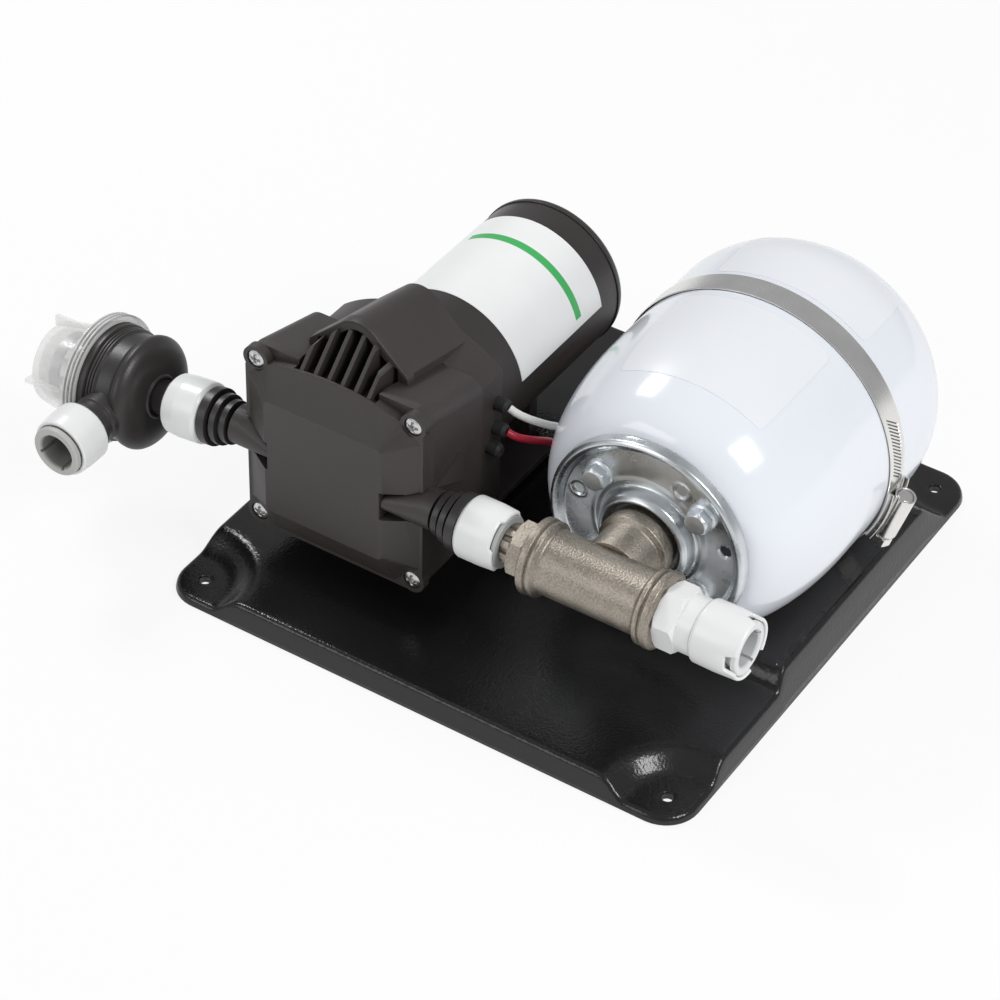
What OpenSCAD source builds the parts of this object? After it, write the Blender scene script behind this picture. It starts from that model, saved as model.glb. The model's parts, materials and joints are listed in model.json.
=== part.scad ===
// Caravan water-pump kit: diaphragm pump, strainer, outlet tee and accumulator on one moulded tray.
// Millimetres. X runs along the tray's front edge, Y to the back, Z up; the origin is the
// centre of the tray's fixing holes, on the surface that it stands on.

/* [Tray] */
// Width of the tray
tray_w = 250; // [246:1:262]
// Depth of the tray
tray_d = 252; // [248:1:264]
// Plan radius of the tray's corners
tray_corner_r = 16; // [10:1:20]
// Height of the deck
deck_h = 11; // [9:0.5:12]
// Height of the platform round the tank
platform_h = 19; // [17:0.5:21]
// Thickness of the moulded sheet
sheet_t = 3; // [2:0.1:3.4]
// Slope of the outer walls, sideways per height
draft = 0.22; // [0.1:0.01:0.3]
// Spacing of the fixing holes along X
hole_dx = 223; // [219:1:226]
// Spacing of the fixing holes along Y
hole_dy = 224; // [220:1:227]
// Diameter of the fixing holes
hole_d = 5.2; // [4:0.1:6]
// Height of the fixing pads
pad_h = 4; // [3:0.5:6]
// Plan radius of the fixing pads
pad_r = 21; // [17:0.5:24]

/* [Layout] */
// Height of the pump, pipe and tank axes
axis_z = 69.5; // [69:0.25:74]
// Place of the pump's axis along X
pump_x = -62.5; // [-65:0.5:-61]
// Place of the tank's axis along X
tank_x = 61; // [60:0.5:63]
// Place of the two ports along Y
port_y = -85; // [-88:0.5:-83]

/* [Pump head] */
// Width of the head
head_w = 85.5; // [84:0.5:90]
// Height of the head
head_h = 90.6; // [88:0.2:94]
// Corner radius of the head
head_r = 6.5; // [5:0.5:8]
// Depth of the head casting
head_depth = 39; // [36:1:41]
// Thickness of the cover's rim
cover_t = 4; // [3.5:0.5:5]
// How far the cover's bevelled face stands out
face_rise = 8; // [5:0.5:10]
// Side of the cover's flat face
face_w = 57; // [50:1:62]
// Distance of the cover screws from the head's sides
screw_side = 5; // [4.8:0.1:5.8]
// Distance of the cover screws from the head's top and bottom
screw_edge = 5.5; // [5.2:0.1:6.2]
// Diameter of the cover screws' heads
screw_head_d = 7.6; // [6:0.2:8.4]
// Depth of the rear housing
rear_depth = 20; // [18:1:23]
// Distance between the mouths of the two ports
port_span = 97.5; // [97:0.5:98]
// Outer diameter of the port barrels
barrel_d = 17; // [15:0.5:19]
// Number of vent fins
fin_count = 6; // [4:1:7]
// Pitch of the vent fins
fin_pitch = 6.4; // [5.4:0.1:6.6]
// Width of the switch hood at its foot
hood_w = 46; // [42:1:48]
// Height of the switch hood
hood_h = 17.5; // [15:0.5:20]
// Length of the switch hood
hood_len = 40; // [36:1:41]

/* [Motor] */
// Outer diameter of the motor can
motor_d = 70; // [68:0.5:72]
// Length of the motor can
motor_len = 105; // [100:1:112]
// Thickness of the end cap
end_cap_t = 5; // [4:0.5:7]
// Length of the motor label
label_len = 62; // [50:1:64]
// Diameter of the motor shaft
shaft_d = 8; // [6:0.5:8]

/* [Fittings] */
// Outer diameter of the push-fit nuts
nut_d = 26.5; // [26:0.5:29]
// Diameter of the tube that the push-fit ends take
tube_d = 15; // [14:0.5:15.5]
// Travel of the collets
collet_travel = 2; // [1:0.5:2.5]
// Length of the tee
tee_len = 60; // [58:1:64]
// Outer diameter of the tee's body
tee_d = 27; // [26:0.5:29]
// Outer diameter of the tee's beads
bead_d = 32.5; // [31:0.5:34]
// Outer diameter of the strainer's dome
strainer_d = 48; // [46:1:52]
// Angle by which the strainer hangs down on its plug
strainer_droop = 6; // [0:1:7]

/* [Tank] */
// Diameter of the tank
tank_d = 126; // [122:0.5:127]
// Diameter of the tank's flange
flange_d = 89; // [86:0.5:92]
// Circle that the flange bolts lie on
bolt_circle_d = 61; // [60.5:0.5:63]
// Width of the clamp band
band_w = 11.5; // [9:0.5:13]
// Place of the clamp band along Y
band_y = 38.5; // [30:0.5:46]
// Thickness of the clamp band
band_t = 0.8; // [0.6:0.1:1]

/* [Leads] */
// Diameter of the supply leads
lead_d = 3.3; // [2.8:0.1:3.6]

/* [Hidden] */
$fn = 64;
hull_fn = 32;
skin = 0.01;
over = 1;
fit = 0.05;
gap = 0.3;

// Tray places
deck_edge = 1.6;
platform_x = 8;
platform_y = -44;
platform_slope = 0.69;
platform_r = 8;
wall_step = 0.12;
pad_shift = 6.5;
pad_slope = 1.15;

// Head places along Y, counted from the cover's rim
rim_y = port_y - 3;
head_y = rim_y + cover_t;
seam_y = head_y + head_depth;
rear_y = seam_y + rear_depth;
face_y = rim_y - face_rise;
head_top = head_h / 2;
cover_arch_r = 109;
cover_arch_drop = 0.7;
rear_arch_r = 60;
rim_w = 1.5;
bevel_corner = 21;
screw_dx = head_w - 2 * screw_side;
screw_dz = head_h - 2 * screw_edge;
screw_pocket_r = screw_head_d / 2 + 1.2;
screw_shank_r = 2;
screw_len = 14;
screw_head_t = 2.6;
screw_seat_y = rim_y + screw_head_t;
barrel_r = barrel_d / 2;
barrel_len = (port_span - head_w) / 2;
neck_r = 5.8;
neck_x = face_w / 2 - 1;
tongue_r = 3.2;
tongue_sink = 0.8;
slot_len = 9;
slot_h = 13.8;
gallery_r = 2.6;
gallery_y = 3;
web_t = 1.2;
plug_r = 5;
plug_depth = 10;
lip_y = rim_y + 17;
lip_t = 5;
hood_wall = 2.5;
hood_foot = 10;
hood_drop = 8.5;
hood_crown_r = 11;
vent_floor = 5.5;
fin_t = 1.7;
rear_w = head_w - 7.5;
rear_h = head_h - 3;
head_fall = 8.7;
rear_drop = 3.4;
head_draft = 0.4;
vent_w = fin_count * fin_pitch;

// Inside the head, places along Y
valve_y = port_y + neck_r + gap;
valve_t = 6;
membrane_t = 2.5;
membrane_r = 32;
chamber_r = 28.5;
piston_t = 5;
piston_r = 25;
wobble_throw = 2;
wobble_r = 8;
bearing_r = 11;
bearing_t = 8;
shaft_r = shaft_d / 2;

// Motor places along Y
can_seat = 8;
can_y = rear_y - can_seat;
can_end = can_y + motor_len;
can_r = motor_d / 2;
can_wall = 2;
cap_spigot = 6;
cap_lip = 0.5;
cap_spigot_t = 2.5;
end_bearing_r = 9;
bearing_house_t = 3;
brush_box = [8, 18, 9];
brush_box_x = 23;
brush_out = 19;
brush_w = 5;
brush_h = 6;
label_y = can_end - 13 - label_len;
label_t = 0.25;
glue_t = 0.02;
label_from = 9;
label_sweep = 176;
magnet_t = 3.5;
armature_r = can_r - can_wall - magnet_t - 1;
armature_y = can_y + 30;
armature_len = 44;
winding_t = 8;
commutator_r = 10;
commutator_len = 9;

// Foot under the pump
foot_w = 63;
foot_y0 = seam_y + 2;
foot_y1 = 40;
foot_t = 3;
grommet_r = 6;
grommet_h = 3;
foot_hole_dx = 50;
foot_hole_dy = 70;

// Inlet group: places counted outwards along its own drooping axis, from the plug's ball nose
nose_depth = 5;
plug_from = 6.4;
plug_neck_r = 8.2;
rib_r = 9.4;
rib_step = 1.5;
rib_t = 2.9;
rib_pitch = 4.1;
sleeve_len = 6;
o_ring_t = 1.2;
o_ring_w = 1.6;
inlet_nut_from = 18.75;
inlet_nut_to = 36.5;
dome_from = 46;
dome_to = 72;
bowl_ring_from = 70.5;
bowl_ring_t = 5.6;
bowl_to = 100.5;
strainer_r = strainer_d / 2;
strainer_wall = 2.5;
dome_round = 4.5;
spigot_r = 7.5;
bowl_r = 21.5;
bowl_end_r = 17.5;
bowl_ring_r = strainer_r + 4.2;
bowl_reach = bowl_to - bowl_ring_from - bowl_ring_t;
bowl_round = 1.6;
ridge_pitch = bowl_ring_t / 3;
bowl_wall = 2;
ring_groove = 0.7;
wing_count = 4;
wing_t = 2;
wing_h = 4.5;
wing_turn = -10;
intake_at = 60;
intake_r = 9.6;
intake_len = 32.5;
intake_nut_len = 16;

// Push-fit line along X
nut_r = nut_d / 2;
bore_r = tube_d / 2 + fit;
collet_r = bore_r + 2;
collet_lip_r = collet_r + 1.6;
collet_lip_t = 2.4;
collet_len = 13;
head_x0 = pump_x - head_w / 2;
head_x1 = pump_x + head_w / 2;
outlet_nut_x0 = head_x1 + barrel_len - nose_depth + inlet_nut_from;
outlet_nut_x1 = outlet_nut_x0 + 17;
tee_x0 = tank_x - tee_len / 2;
tee_x1 = tank_x + tee_len / 2;
bead_len = 8;
tee_bore_r = 10.4;
hex_len = 7;
hex_r = 13;
stem_hex_x = tee_x0 - hex_len;
adaptor_hex_len = 9.5;
adaptor_neck = 6.5;
tube_nut_x0 = tee_x1 + adaptor_hex_len + adaptor_neck;
tube_nut_len = 19.5;
collet_proud = 1;

// Tank places along Y
tank_r = tank_d / 2;
tank_wall = 1.6;
tank_front = -47.5;
shoulder_y = 10;
dome_y = 66;
tank_back = 114.5;
seat_r = 42.5;
mouth_r = 22;
front_wall = 4;
dome_steps = 14;
nest_gap = 0.1;
flange_r = flange_d / 2;
flange_t = 2.5;
boss_r = 21;
boss_h = 6;
bolt_r = 4;
bolt_head_r = 7.4;
bolt_head_t = 5.2;
bolt_len = 8;
bolt_angles = [40, 140, 220, 320];
branch_end = tank_front - flange_t - boss_h;
bladder_t = 2;
bladder_r = 48;
bladder_half = 42;
bladder_mid = 20;
bladder_neck = 6;
bladder_fit = 0.2;

// Clamp
band_r = tank_r + 0.15;
band_under_r = tank_r + nest_gap + sheet_t + gap;
band_step_z = platform_h - axis_z + 2.2;
slot_w = band_w + 2;
slot_out = sqrt(pow(band_under_r + band_t + 2 * gap, 2) - pow(axis_z - platform_h, 2));
slot_in = slot_out - 10;
clamp_angle = -17;
clamp_len = 27;
clamp_tube_r = 4.5;
clamp_screw_r = 3.5;
clamp_hex_r = 4;
clamp_hex_t = 5;
clamp_lift = 4.7;
band_slot_t = 1.1;
band_slot_pitch = 2.4;

// Leads: routes chosen by hand, from the gland along the valley between motor and tank
gland_x = pump_x + rear_w / 2;
gland_len = 6;
gland_r = 3.1;
white_route = [[-17.5, -29, 83], [-15, -28.3, 81.4], [-12.6, -26.2, 79], [-9.3, -22.2, 75.5],
  [-6.6, -16.6, 71], [-5.2, -10, 66], [-5, -3.5, 59.5], [-5, 3, 52], [-5, 9, 44], [-5, 14.5, 36],
  [-5, 20, 28.5], [-4.6, 26.5, 21.5], [-4, 34, 16], [-3.4, 42.5, 13.2], [-3, 51, 12.8],
  [-2.6, 60, 12.8], [-2.2, 69, 12.8], [-2, 78, 12.8], [-2, 87, 12.8], [-2.4, 96, 12.8], [-3, 105, 12.8]];
red_route = [[-17.5, -30, 71.2], [-14.4, -28.7, 69.4], [-11.4, -24.6, 66.6], [-9.6, -19, 63],
  [-9, -12.6, 58.6], [-9, -6.6, 53.4], [-9, -0.6, 46.6], [-9, 5, 39], [-9, 10.4, 31.2],
  [-9, 16.4, 23.8], [-9, 23.4, 17.4], [-9, 31.6, 13.6], [-8.6, 40.4, 12.8], [-8, 49.4, 12.8],
  [-7.4, 58.4, 12.8], [-7, 67.4, 12.8], [-6.8, 76.4, 12.8], [-6.8, 85.4, 12.8],
  [-7.4, 94.4, 12.8], [-8.4, 103.4, 12.8]];
gland_places = [[-29, 83], [-30, 71.2], [-34, 63.5]];

// Frames and plain shapes
module along_x(x) translate([x, 0, 0]) rotate([0, 90, 0]) children();
module along_y(y) translate([0, y, 0]) rotate([-90, 0, 0]) children();
module at_pump() translate([pump_x, 0, axis_z]) children();
module at_tank() translate([tank_x, 0, axis_z]) children();
module at_port() translate([0, port_y, axis_z]) children();
module at_inlet() translate([head_x0 - barrel_len + nose_depth, port_y, axis_z])
  rotate([0, -strainer_droop, 0]) mirror([1, 0, 0]) children();

// A flat outline in X and Z, made solid from y0 back to y1
module y_slab(y0, y1) translate([0, y1, 0]) rotate([90, 0, 0]) linear_extrude(y1 - y0) children();

module rrect(w, h, r) {
  square([w - 2 * r, h], center = true);
  square([w, h - 2 * r], center = true);
  for (sx = [-1, 1], sy = [-1, 1])
    translate([sx * (w / 2 - r), sy * (h / 2 - r)]) circle(r);
}

module box2(x0, y0, x1, y1, r)
  translate([(x0 + x1) / 2, (y0 + y1) / 2]) rrect(x1 - x0, y1 - y0, r);

module ring(r_out, r_in, h) difference() {
  cylinder(r = r_out, h = h);
  translate([0, 0, -over]) cylinder(r = r_in, h = h + 2 * over);
}

function arc(cx, cy, rx, ry, from, to, steps) =
  [for (i = [0:steps]) let(a = from + (to - from) * i / steps) [cx + rx * cos(a), cy + ry * sin(a)]];

// Tray
function wall_x(z) = tray_w / 2 - draft * z;
function wall_y(z) = tray_d / 2 - draft * z;

module tray_outline(z, inset) {
  r = max(tray_corner_r - inset - draft * z, 2);
  box2(-wall_x(z) + inset, -wall_y(z) + inset, wall_x(z) - inset, wall_y(z) - inset, r, $fn = hull_fn);
}

module platform_outline(z, inset) {
  run = platform_slope * (z - deck_h) + inset;
  box2(platform_x + run, platform_y + run, wall_x(z) - inset - wall_step, wall_y(z) - inset - wall_step,
    platform_r, $fn = hull_fn);
}

module tray_block(z0, z1, inset) hull() {
  translate([0, 0, z0]) linear_extrude(skin) tray_outline(z0, inset);
  translate([0, 0, z1 - deck_edge]) linear_extrude(skin) tray_outline(z1 - deck_edge, inset);
  translate([0, 0, z1 - skin]) linear_extrude(skin) tray_outline(z1, inset + deck_edge);
}

module platform_block(z0, z1, inset) hull() {
  translate([0, 0, z0]) linear_extrude(skin) platform_outline(z0, inset);
  translate([0, 0, z1 - deck_edge]) linear_extrude(skin) platform_outline(z1 - deck_edge, inset);
  translate([0, 0, z1 - skin]) linear_extrude(skin) platform_outline(z1, inset + deck_edge);
}

module pad_cuts(grow, z0) {
  rise = platform_h + over - pad_h;
  for (sx = [-1, 1], sy = [-1, 1])
    translate([sx * (hole_dx / 2 + pad_shift), sy * (hole_dy / 2 + pad_shift), 0]) {
      translate([0, 0, pad_h]) cylinder(r1 = pad_r + grow, r2 = pad_r + grow + pad_slope * rise, h = rise);
      translate([0, 0, z0]) cylinder(r = pad_r + grow, h = pad_h - z0);
    }
}

module nest(grow) at_tank() along_y(0) rotate_extrude() polygon(tank_profile(grow));

module tray_hollow() difference() {
  union() {
    tray_block(-over, deck_h - sheet_t, sheet_t);
    platform_block(deck_h - sheet_t - 2, platform_h - sheet_t, sheet_t);
  }
  pad_cuts(sheet_t, -2 * over);
  nest(nest_gap + sheet_t);
}

module foot_places() for (sx = [-1, 1], sy = [-1, 1])
  translate([pump_x + sx * foot_hole_dx / 2, (foot_y0 + foot_y1) / 2 + sy * foot_hole_dy / 2, 0]) children();

module base_tray() color("#1d1d1f") difference() {
  union() {
    tray_block(0, deck_h, 0);
    platform_block(deck_h - 2, platform_h, 0);
  }
  pad_cuts(0, pad_h);
  nest(nest_gap);
  tray_hollow();
  for (sx = [-1, 1], sy = [-1, 1])
    translate([sx * hole_dx / 2, sy * hole_dy / 2, -over]) cylinder(d = hole_d, h = pad_h + 2 * over);
  for (s = [-1, 1])
    translate([tank_x + s * (slot_in + slot_out) / 2, band_y, 10])
      cube([slot_out - slot_in, slot_w, 24], center = true);
  foot_places() translate([0, 0, -over]) cylinder(r = screw_shank_r + fit, h = deck_h + 2 * over);
}

// Pump foot
foot_z = deck_h + grommet_h;
module foot_bracket() color("#262628") difference() {
  union() {
    translate([pump_x, (foot_y0 + foot_y1) / 2, foot_z])
      linear_extrude(foot_t) rrect(foot_w, foot_y1 - foot_y0, 5);
    translate([pump_x - 20, foot_y0, foot_z])
      cube([40, rear_y - foot_y0, axis_z + head_top - rear_h - foot_z]);
    for (y = [rear_y + 8, foot_y1 - 12])
      translate([pump_x - 20, y, foot_z]) cube([40, 6, axis_z - can_r + 5 - foot_z]);
  }
  at_pump() along_y(foot_y0 - over) cylinder(r = can_r + fit, h = foot_y1 - foot_y0 + 2 * over);
  foot_places() translate([0, 0, foot_z - over]) cylinder(r = screw_shank_r + 0.4, h = foot_t + 2 * over);
}

module foot_grommets() color("#111112") foot_places() translate([0, 0, deck_h])
  rotate_extrude() polygon(concat([[screw_shank_r + 0.4, 0], [grommet_r + 0.8, 0]],
    [[grommet_r, grommet_h / 2], [grommet_r + 0.8, grommet_h], [screw_shank_r + 0.4, grommet_h]]));

module foot_screws() color("#b9bbbd") foot_places() {
  translate([0, 0, deck_h - 6]) cylinder(r = screw_shank_r, h = 6 + grommet_h + foot_t + skin);
  translate([0, 0, foot_z + foot_t]) difference() {
    cylinder(r = 3.8, h = 2.4);
    for (a = [0, 90]) rotate(a) translate([0, 0, 2]) cube([4.4, 1, 2.4], center = true);
  }
}

// Pump head
module head_outline() rrect(head_w, head_h, head_r);
module cover_outline() intersection() {
  head_outline();
  translate([0, head_top - cover_arch_drop - cover_arch_r]) circle(cover_arch_r, $fn = 128);
}
module screw_places() for (sx = [-1, 1], sz = [-1, 1])
  translate([sx * screw_dx / 2, 0, sz * screw_dz / 2]) children();

module bevel_base() intersection() {
  square([head_w - 2 * rim_w, head_h - 2 * rim_w], center = true);
  rotate(45) square((head_w + head_h) / sqrt(2) - bevel_corner, center = true);
  translate([0, head_top - cover_arch_drop - cover_arch_r - rim_w / 3]) circle(cover_arch_r, $fn = 128);
}

// Tongue that carries a port: from the cover's flat face, widening sideways into the barrel
tongue_y = face_y + tongue_sink + tongue_r - port_y;
module port_tongue(grow, ahead) hull() {
  along_x(neck_x - grow) translate([0, tongue_y - ahead, 0]) cylinder(r = tongue_r + grow, h = over);
  along_x(neck_x - grow) translate([0, tongue_y, 0]) cylinder(r = tongue_r + grow, h = over);
  along_x(head_w / 2) translate([0, -ahead, 0]) cylinder(r = barrel_r + grow, h = over);
  along_x(head_w / 2) cylinder(r = barrel_r + grow, h = over);
}
module port_notch(side) translate([0, port_y, 0]) mirror([side < 0 ? 1 : 0, 0, 0]) {
  port_tongue(gap, 2 * face_rise);
  translate([neck_x - gap, -2 * face_rise, -slot_h / 2]) cube([slot_len, 2 * face_rise - over, slot_h]);
}

module front_cover() color("#2e2e30") at_pump() difference() {
  union() {
    y_slab(rim_y, head_y) cover_outline();
    screw_places() along_y(rim_y) cylinder(r = head_r - 0.6, h = cover_t);
    hull() {
      y_slab(rim_y, rim_y + skin) bevel_base();
      y_slab(face_y, face_y + skin) rrect(face_w, face_w, 3, $fn = hull_fn);
    }
  }
  screw_places() along_y(face_y) cylinder(r = screw_pocket_r, h = face_rise);
  screw_places() along_y(rim_y - over) cylinder(r = screw_head_d / 2 + gap, h = screw_head_t + over);
  screw_places() along_y(rim_y - over) cylinder(r = screw_shank_r + 0.2, h = cover_t + 2 * over);
  for (side = [-1, 1]) port_notch(side);
  translate([-vent_w / 2 - gap, rim_y + 1.2 - gap, head_top - 4 - gap]) cube([vent_w + 2 * gap, cover_t, 8]);
}

module cover_screws() color("#c9cacc") at_pump() screw_places() {
  along_y(screw_seat_y - skin) cylinder(r = screw_shank_r, h = screw_len - screw_head_t);
  along_y(rim_y) difference() {
    cylinder(r = screw_head_d / 2, h = screw_head_t);
    for (a = [0, 60, 120]) rotate(a) cube([4, 1.3, 2.6], center = true);
  }
}

// Arch of the switch hood in X and Z, inset by a wall; its foot line is the top of the head
module hood_arch(inset, foot = 0, drop = 0) {
  r = hood_crown_r - inset;
  b = hood_w / 2 - inset * 1.35;
  c = hood_h - hood_crown_r;
  d = sqrt(b * b + c * c);
  t = atan2(-c, b) + acos(r / d);
  q = r - 0.03;
  translate([0, head_top - drop]) {
    polygon(concat(foot > 0 ? [[-b, 0], [-b, -foot], [b, -foot], [b, 0]] : [[-b, 0], [b, 0]],
      [[q * cos(t), c + q * sin(t)], [-q * cos(t), c + q * sin(t)]]));
    translate([0, c]) circle(r);
  }
}

module vent_fins() intersection() {
  y_slab(rim_y, hood_y) {
    hood_arch(1);
    translate([-vent_w / 2 - 1, head_top - vent_floor - over]) square([vent_w + 2, vent_floor + over]);
  }
  for (i = [0:fin_count - 1]) translate([(i - (fin_count - 1) / 2) * fin_pitch - fin_t / 2, 0, 0])
    rotate([90, 0, 90]) linear_extrude(fin_t) polygon([[head_y, head_top - vent_floor - over],
      [head_y, head_top - 4], [rim_y + 1.2, head_top - 4], [rim_y + 1.2, head_top - 2],
      [lip_y, head_top + hood_h - 4], [hood_y - 1.5, head_top + hood_h - 4],
      [hood_y - 1.5, head_top - vent_floor - over]]);
}

module port_barrel(side) at_port() translate([pump_x, 0, 0]) mirror([side < 0 ? 1 : 0, 0, 0]) {
  along_x(head_w / 2) cylinder(r = barrel_r, h = barrel_len);
  port_tongue(0, 0);
}

// Outer form of the head, whose flat top falls to the back, and of the arched housing behind it
module hung_outline(w, h, top) translate([0, top - h / 2]) rrect(w, h, head_r, $fn = hull_fn);
module head_form() hull() {
  y_slab(head_y, head_y + 4) rrect(head_w, head_h, head_r, $fn = hull_fn);
  y_slab(seam_y - 1, seam_y)
    hung_outline(head_w - 2 * head_draft, head_h - head_fall - head_draft, head_top - head_fall);
}
module rear_form() y_slab(seam_y, rear_y) intersection() {
  hung_outline(rear_w, rear_h, head_top);
  translate([0, head_top - rear_drop - rear_arch_r]) circle(rear_arch_r, $fn = 96);
}

module port_bore(side) at_port() translate([pump_x, 0, 0]) mirror([side < 0 ? 1 : 0, 0, 0]) {
  bore_end = head_w / 2 + barrel_len - plug_depth;
  along_x(bore_end) cylinder(r = plug_r + fit, h = plug_depth + over);
  translate([0, gallery_y, 0]) along_x(chamber_r) cylinder(r = gallery_r, h = bore_end + over - chamber_r);
}

// Three-cornered web on the head's side, behind the barrel
module side_web(side) at_port() translate([pump_x, 0, 0]) mirror([side < 0 ? 1 : 0, 0, 0])
  translate([head_w / 2 - over, 0, 0]) rotate([90, 0, 90]) linear_extrude(over + web_t)
    polygon([[barrel_r / 2, barrel_r - 2], [seam_y - port_y - 16.8, barrel_r + 4],
      [seam_y - port_y - 14, -3.5]]);

// Level pad for the pressure switch, on the falling top of the head
module switch_pad() translate([-switch_size[0] / 2 - over, seam_y - switch_size[1] - over, switch_z - pad_t])
  cube([switch_size[0] + 2 * over, switch_size[1] + over, pad_t]);

module head_housing() color("#2b2b2d") difference() {
  union() {
    at_pump() difference() {
      union() {
        head_form();
        y_slab(lip_y, hood_y) hood_arch(0, hood_foot);
      }
      along_y(head_y - over) cylinder(r = membrane_r + fit, h = membrane_y + membrane_t - head_y + over);
      along_y(head_y) cylinder(r = chamber_r, h = head_depth + over);
      y_slab(head_y - over, hood_y + over) hood_arch(3);
      translate([-vent_w / 2, head_y - over, head_top - vent_floor])
        cube([vent_w, hood_y - head_y - 1, vent_floor + 4]);
    }
    at_pump() vent_fins();
    at_pump() switch_pad();
    for (side = [-1, 1]) {
      port_barrel(side);
      side_web(side);
    }
  }
  at_pump() screw_places() along_y(head_y - over) cylinder(r = screw_shank_r + fit, h = screw_len);
  for (side = [-1, 1]) port_bore(side);
}

hood_y = lip_y + lip_t;
module switch_cover() color("#313133") at_pump() difference() {
  inner_end = hood_y + hood_len - hood_wall;
  hull() {
    y_slab(hood_y, hood_y + over) hood_arch(0, hood_foot);
    y_slab(hood_y + hood_len - over, hood_y + hood_len) hood_arch(0, hood_foot, hood_drop);
  }
  hull() {
    y_slab(hood_y - over, hood_y) hood_arch(hood_wall, hood_foot + 2);
    y_slab(inner_end - over, inner_end) hood_arch(hood_wall, hood_foot + 2, hood_drop);
  }
  head_form();
  rear_form();
}

module rear_housing() color("#29292b") difference() {
  at_pump() rear_form();
  at_pump() {
    along_y(seam_y) cylinder(r = bearing_r + fit, h = rear_depth);
    along_y(can_y) cylinder(r = can_r + fit, h = can_seat + over);
  }
}

// Inside the head
module valve_plate() color("#d8d2c0") at_pump() difference() {
  along_y(valve_y) cylinder(r = membrane_r, h = valve_t);
  for (a = [0:60:300]) rotate([0, a, 0]) translate([19, 0, 0])
    along_y(valve_y - over) cylinder(r = 2.6, h = valve_t + 2 * over);
}
membrane_y = valve_y + valve_t;
module diaphragm() color("#3a3a3c") at_pump() along_y(membrane_y) rotate_extrude()
  polygon(concat([[0, 0], [membrane_r, 0], [membrane_r, membrane_t], [26, membrane_t]],
    arc(21, membrane_t, 3.5, 2.2, 0, 180, 8), [[0, membrane_t]]));
piston_y = membrane_y + membrane_t + 2.6;
module piston_plate() color("#c9c3b0") at_pump() difference() {
  union() {
    along_y(piston_y) cylinder(r = piston_r, h = piston_t);
    for (a = [45:90:315]) rotate([0, a, 0]) translate([9, 0, 0])
      along_y(membrane_y + membrane_t) cylinder(r = 4, h = 3);
    along_y(piston_y + piston_t) ring(wobble_r + wobble_throw + gap + 2.5, wobble_r + wobble_throw + gap, 4);
  }
  along_y(piston_y + piston_t - 2) cylinder(r = wobble_r + wobble_throw + gap, h = 7);
}
module eccentric() color("#8f9194") at_pump() difference() {
  union() {
    translate([wobble_throw, 0, 0]) along_y(piston_y + piston_t - 1.6) cylinder(r = wobble_r, h = 6);
    along_y(piston_y + piston_t + 4.4) cylinder(r = wobble_r + wobble_throw + 3, h = 5);
  }
  along_y(piston_y) cylinder(r = shaft_r + glue_t, h = 20);
}
module drive_bearing() color("#a7a9ac") at_pump() along_y(can_y - bearing_t)
  ring(bearing_r, shaft_r + fit, bearing_t);

switch_size = [10, 14, 6];
switch_y = seam_y - switch_size[1] / 2;
switch_z = head_top - 5;
pad_t = 6;
plunger_r = 2;
plunger_len = 3;
plunger_room = 2;
module switch_body() color("#171719") at_pump() difference() {
  translate([-switch_size[0] / 2, switch_y - switch_size[1] / 2, switch_z]) cube(switch_size);
  translate([0, switch_y, switch_z - over])
    cylinder(r = plunger_r + fit, h = over + plunger_len + plunger_room);
}
module switch_plunger() color("#c8503a") at_pump() translate([0, switch_y, switch_z + gap])
  cylinder(r = plunger_r, h = plunger_len);

// Motor
module motor_can() color("#232325") at_pump() difference() {
  along_y(can_y) cylinder(r = can_r, h = motor_len);
  along_y(can_y + can_wall) cylinder(r = can_r - can_wall, h = motor_len);
  along_y(can_y - over) cylinder(r = shaft_r + 3, h = 2 * over + can_wall);
}
module motor_end_cap() color("#2c2c2e") at_pump() {
  round = end_cap_t - 1;
  difference() {
    union() {
      along_y(can_end) rotate_extrude() polygon(concat([[0, 0], [can_r + cap_lip, 0]],
        arc(can_r + cap_lip - round, end_cap_t - round, round, round, 0, 90, 8), [[0, end_cap_t]]));
      along_y(can_end - cap_spigot)
        ring(can_r - can_wall - glue_t, can_r - can_wall - cap_spigot_t, cap_spigot);
      along_y(can_end - cap_spigot) ring(end_bearing_r + bearing_house_t, end_bearing_r + fit, cap_spigot);
      for (s = [-1, 1])
        translate([s * brush_box_x, can_end - brush_box[1] / 2, 0]) cube(brush_box, center = true);
    }
    along_y(can_end) cylinder(r = shaft_r + 0.5, h = 1);
  }
}
module brushes() color("#55504b") at_pump() for (s = [-1, 1])
  translate([s * (commutator_r + fit + brush_out) / 2, commutator_y + commutator_len / 2, 0])
    cube([brush_out - commutator_r - fit, brush_w, brush_h], center = true);
module end_bearing() color("#a98d5c") at_pump() along_y(can_end - cap_spigot)
  ring(end_bearing_r, shaft_r + fit, cap_spigot);
module motor_label() color("#f2f3f1") at_pump() along_y(label_y) rotate([0, 0, -label_from - label_sweep])
  rotate_extrude(angle = label_sweep) translate([can_r + glue_t, 0]) square([label_t, label_len]);
module magnets() color("#4a4a4e") at_pump() along_y(armature_y - 2) for (a = [20, 200])
  rotate(a) rotate_extrude(angle = 140) translate([can_r - can_wall - magnet_t, 0])
    square([magnet_t - glue_t, armature_len + 4]);
module motor_shaft() color("#b4b6b9") at_pump() along_y(piston_y + piston_t - 1.6)
  cylinder(r = shaft_r, h = can_end + 0.6 - piston_y - piston_t + 1.6);
module armature_core() color("#6f7174") at_pump() along_y(armature_y) difference() {
  ring(armature_r, shaft_r + glue_t, armature_len);
  for (a = [0:45:315]) rotate(a) translate([armature_r - 3, 0, armature_len / 2])
    cube([8, 3, armature_len + 2], center = true);
}
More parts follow.
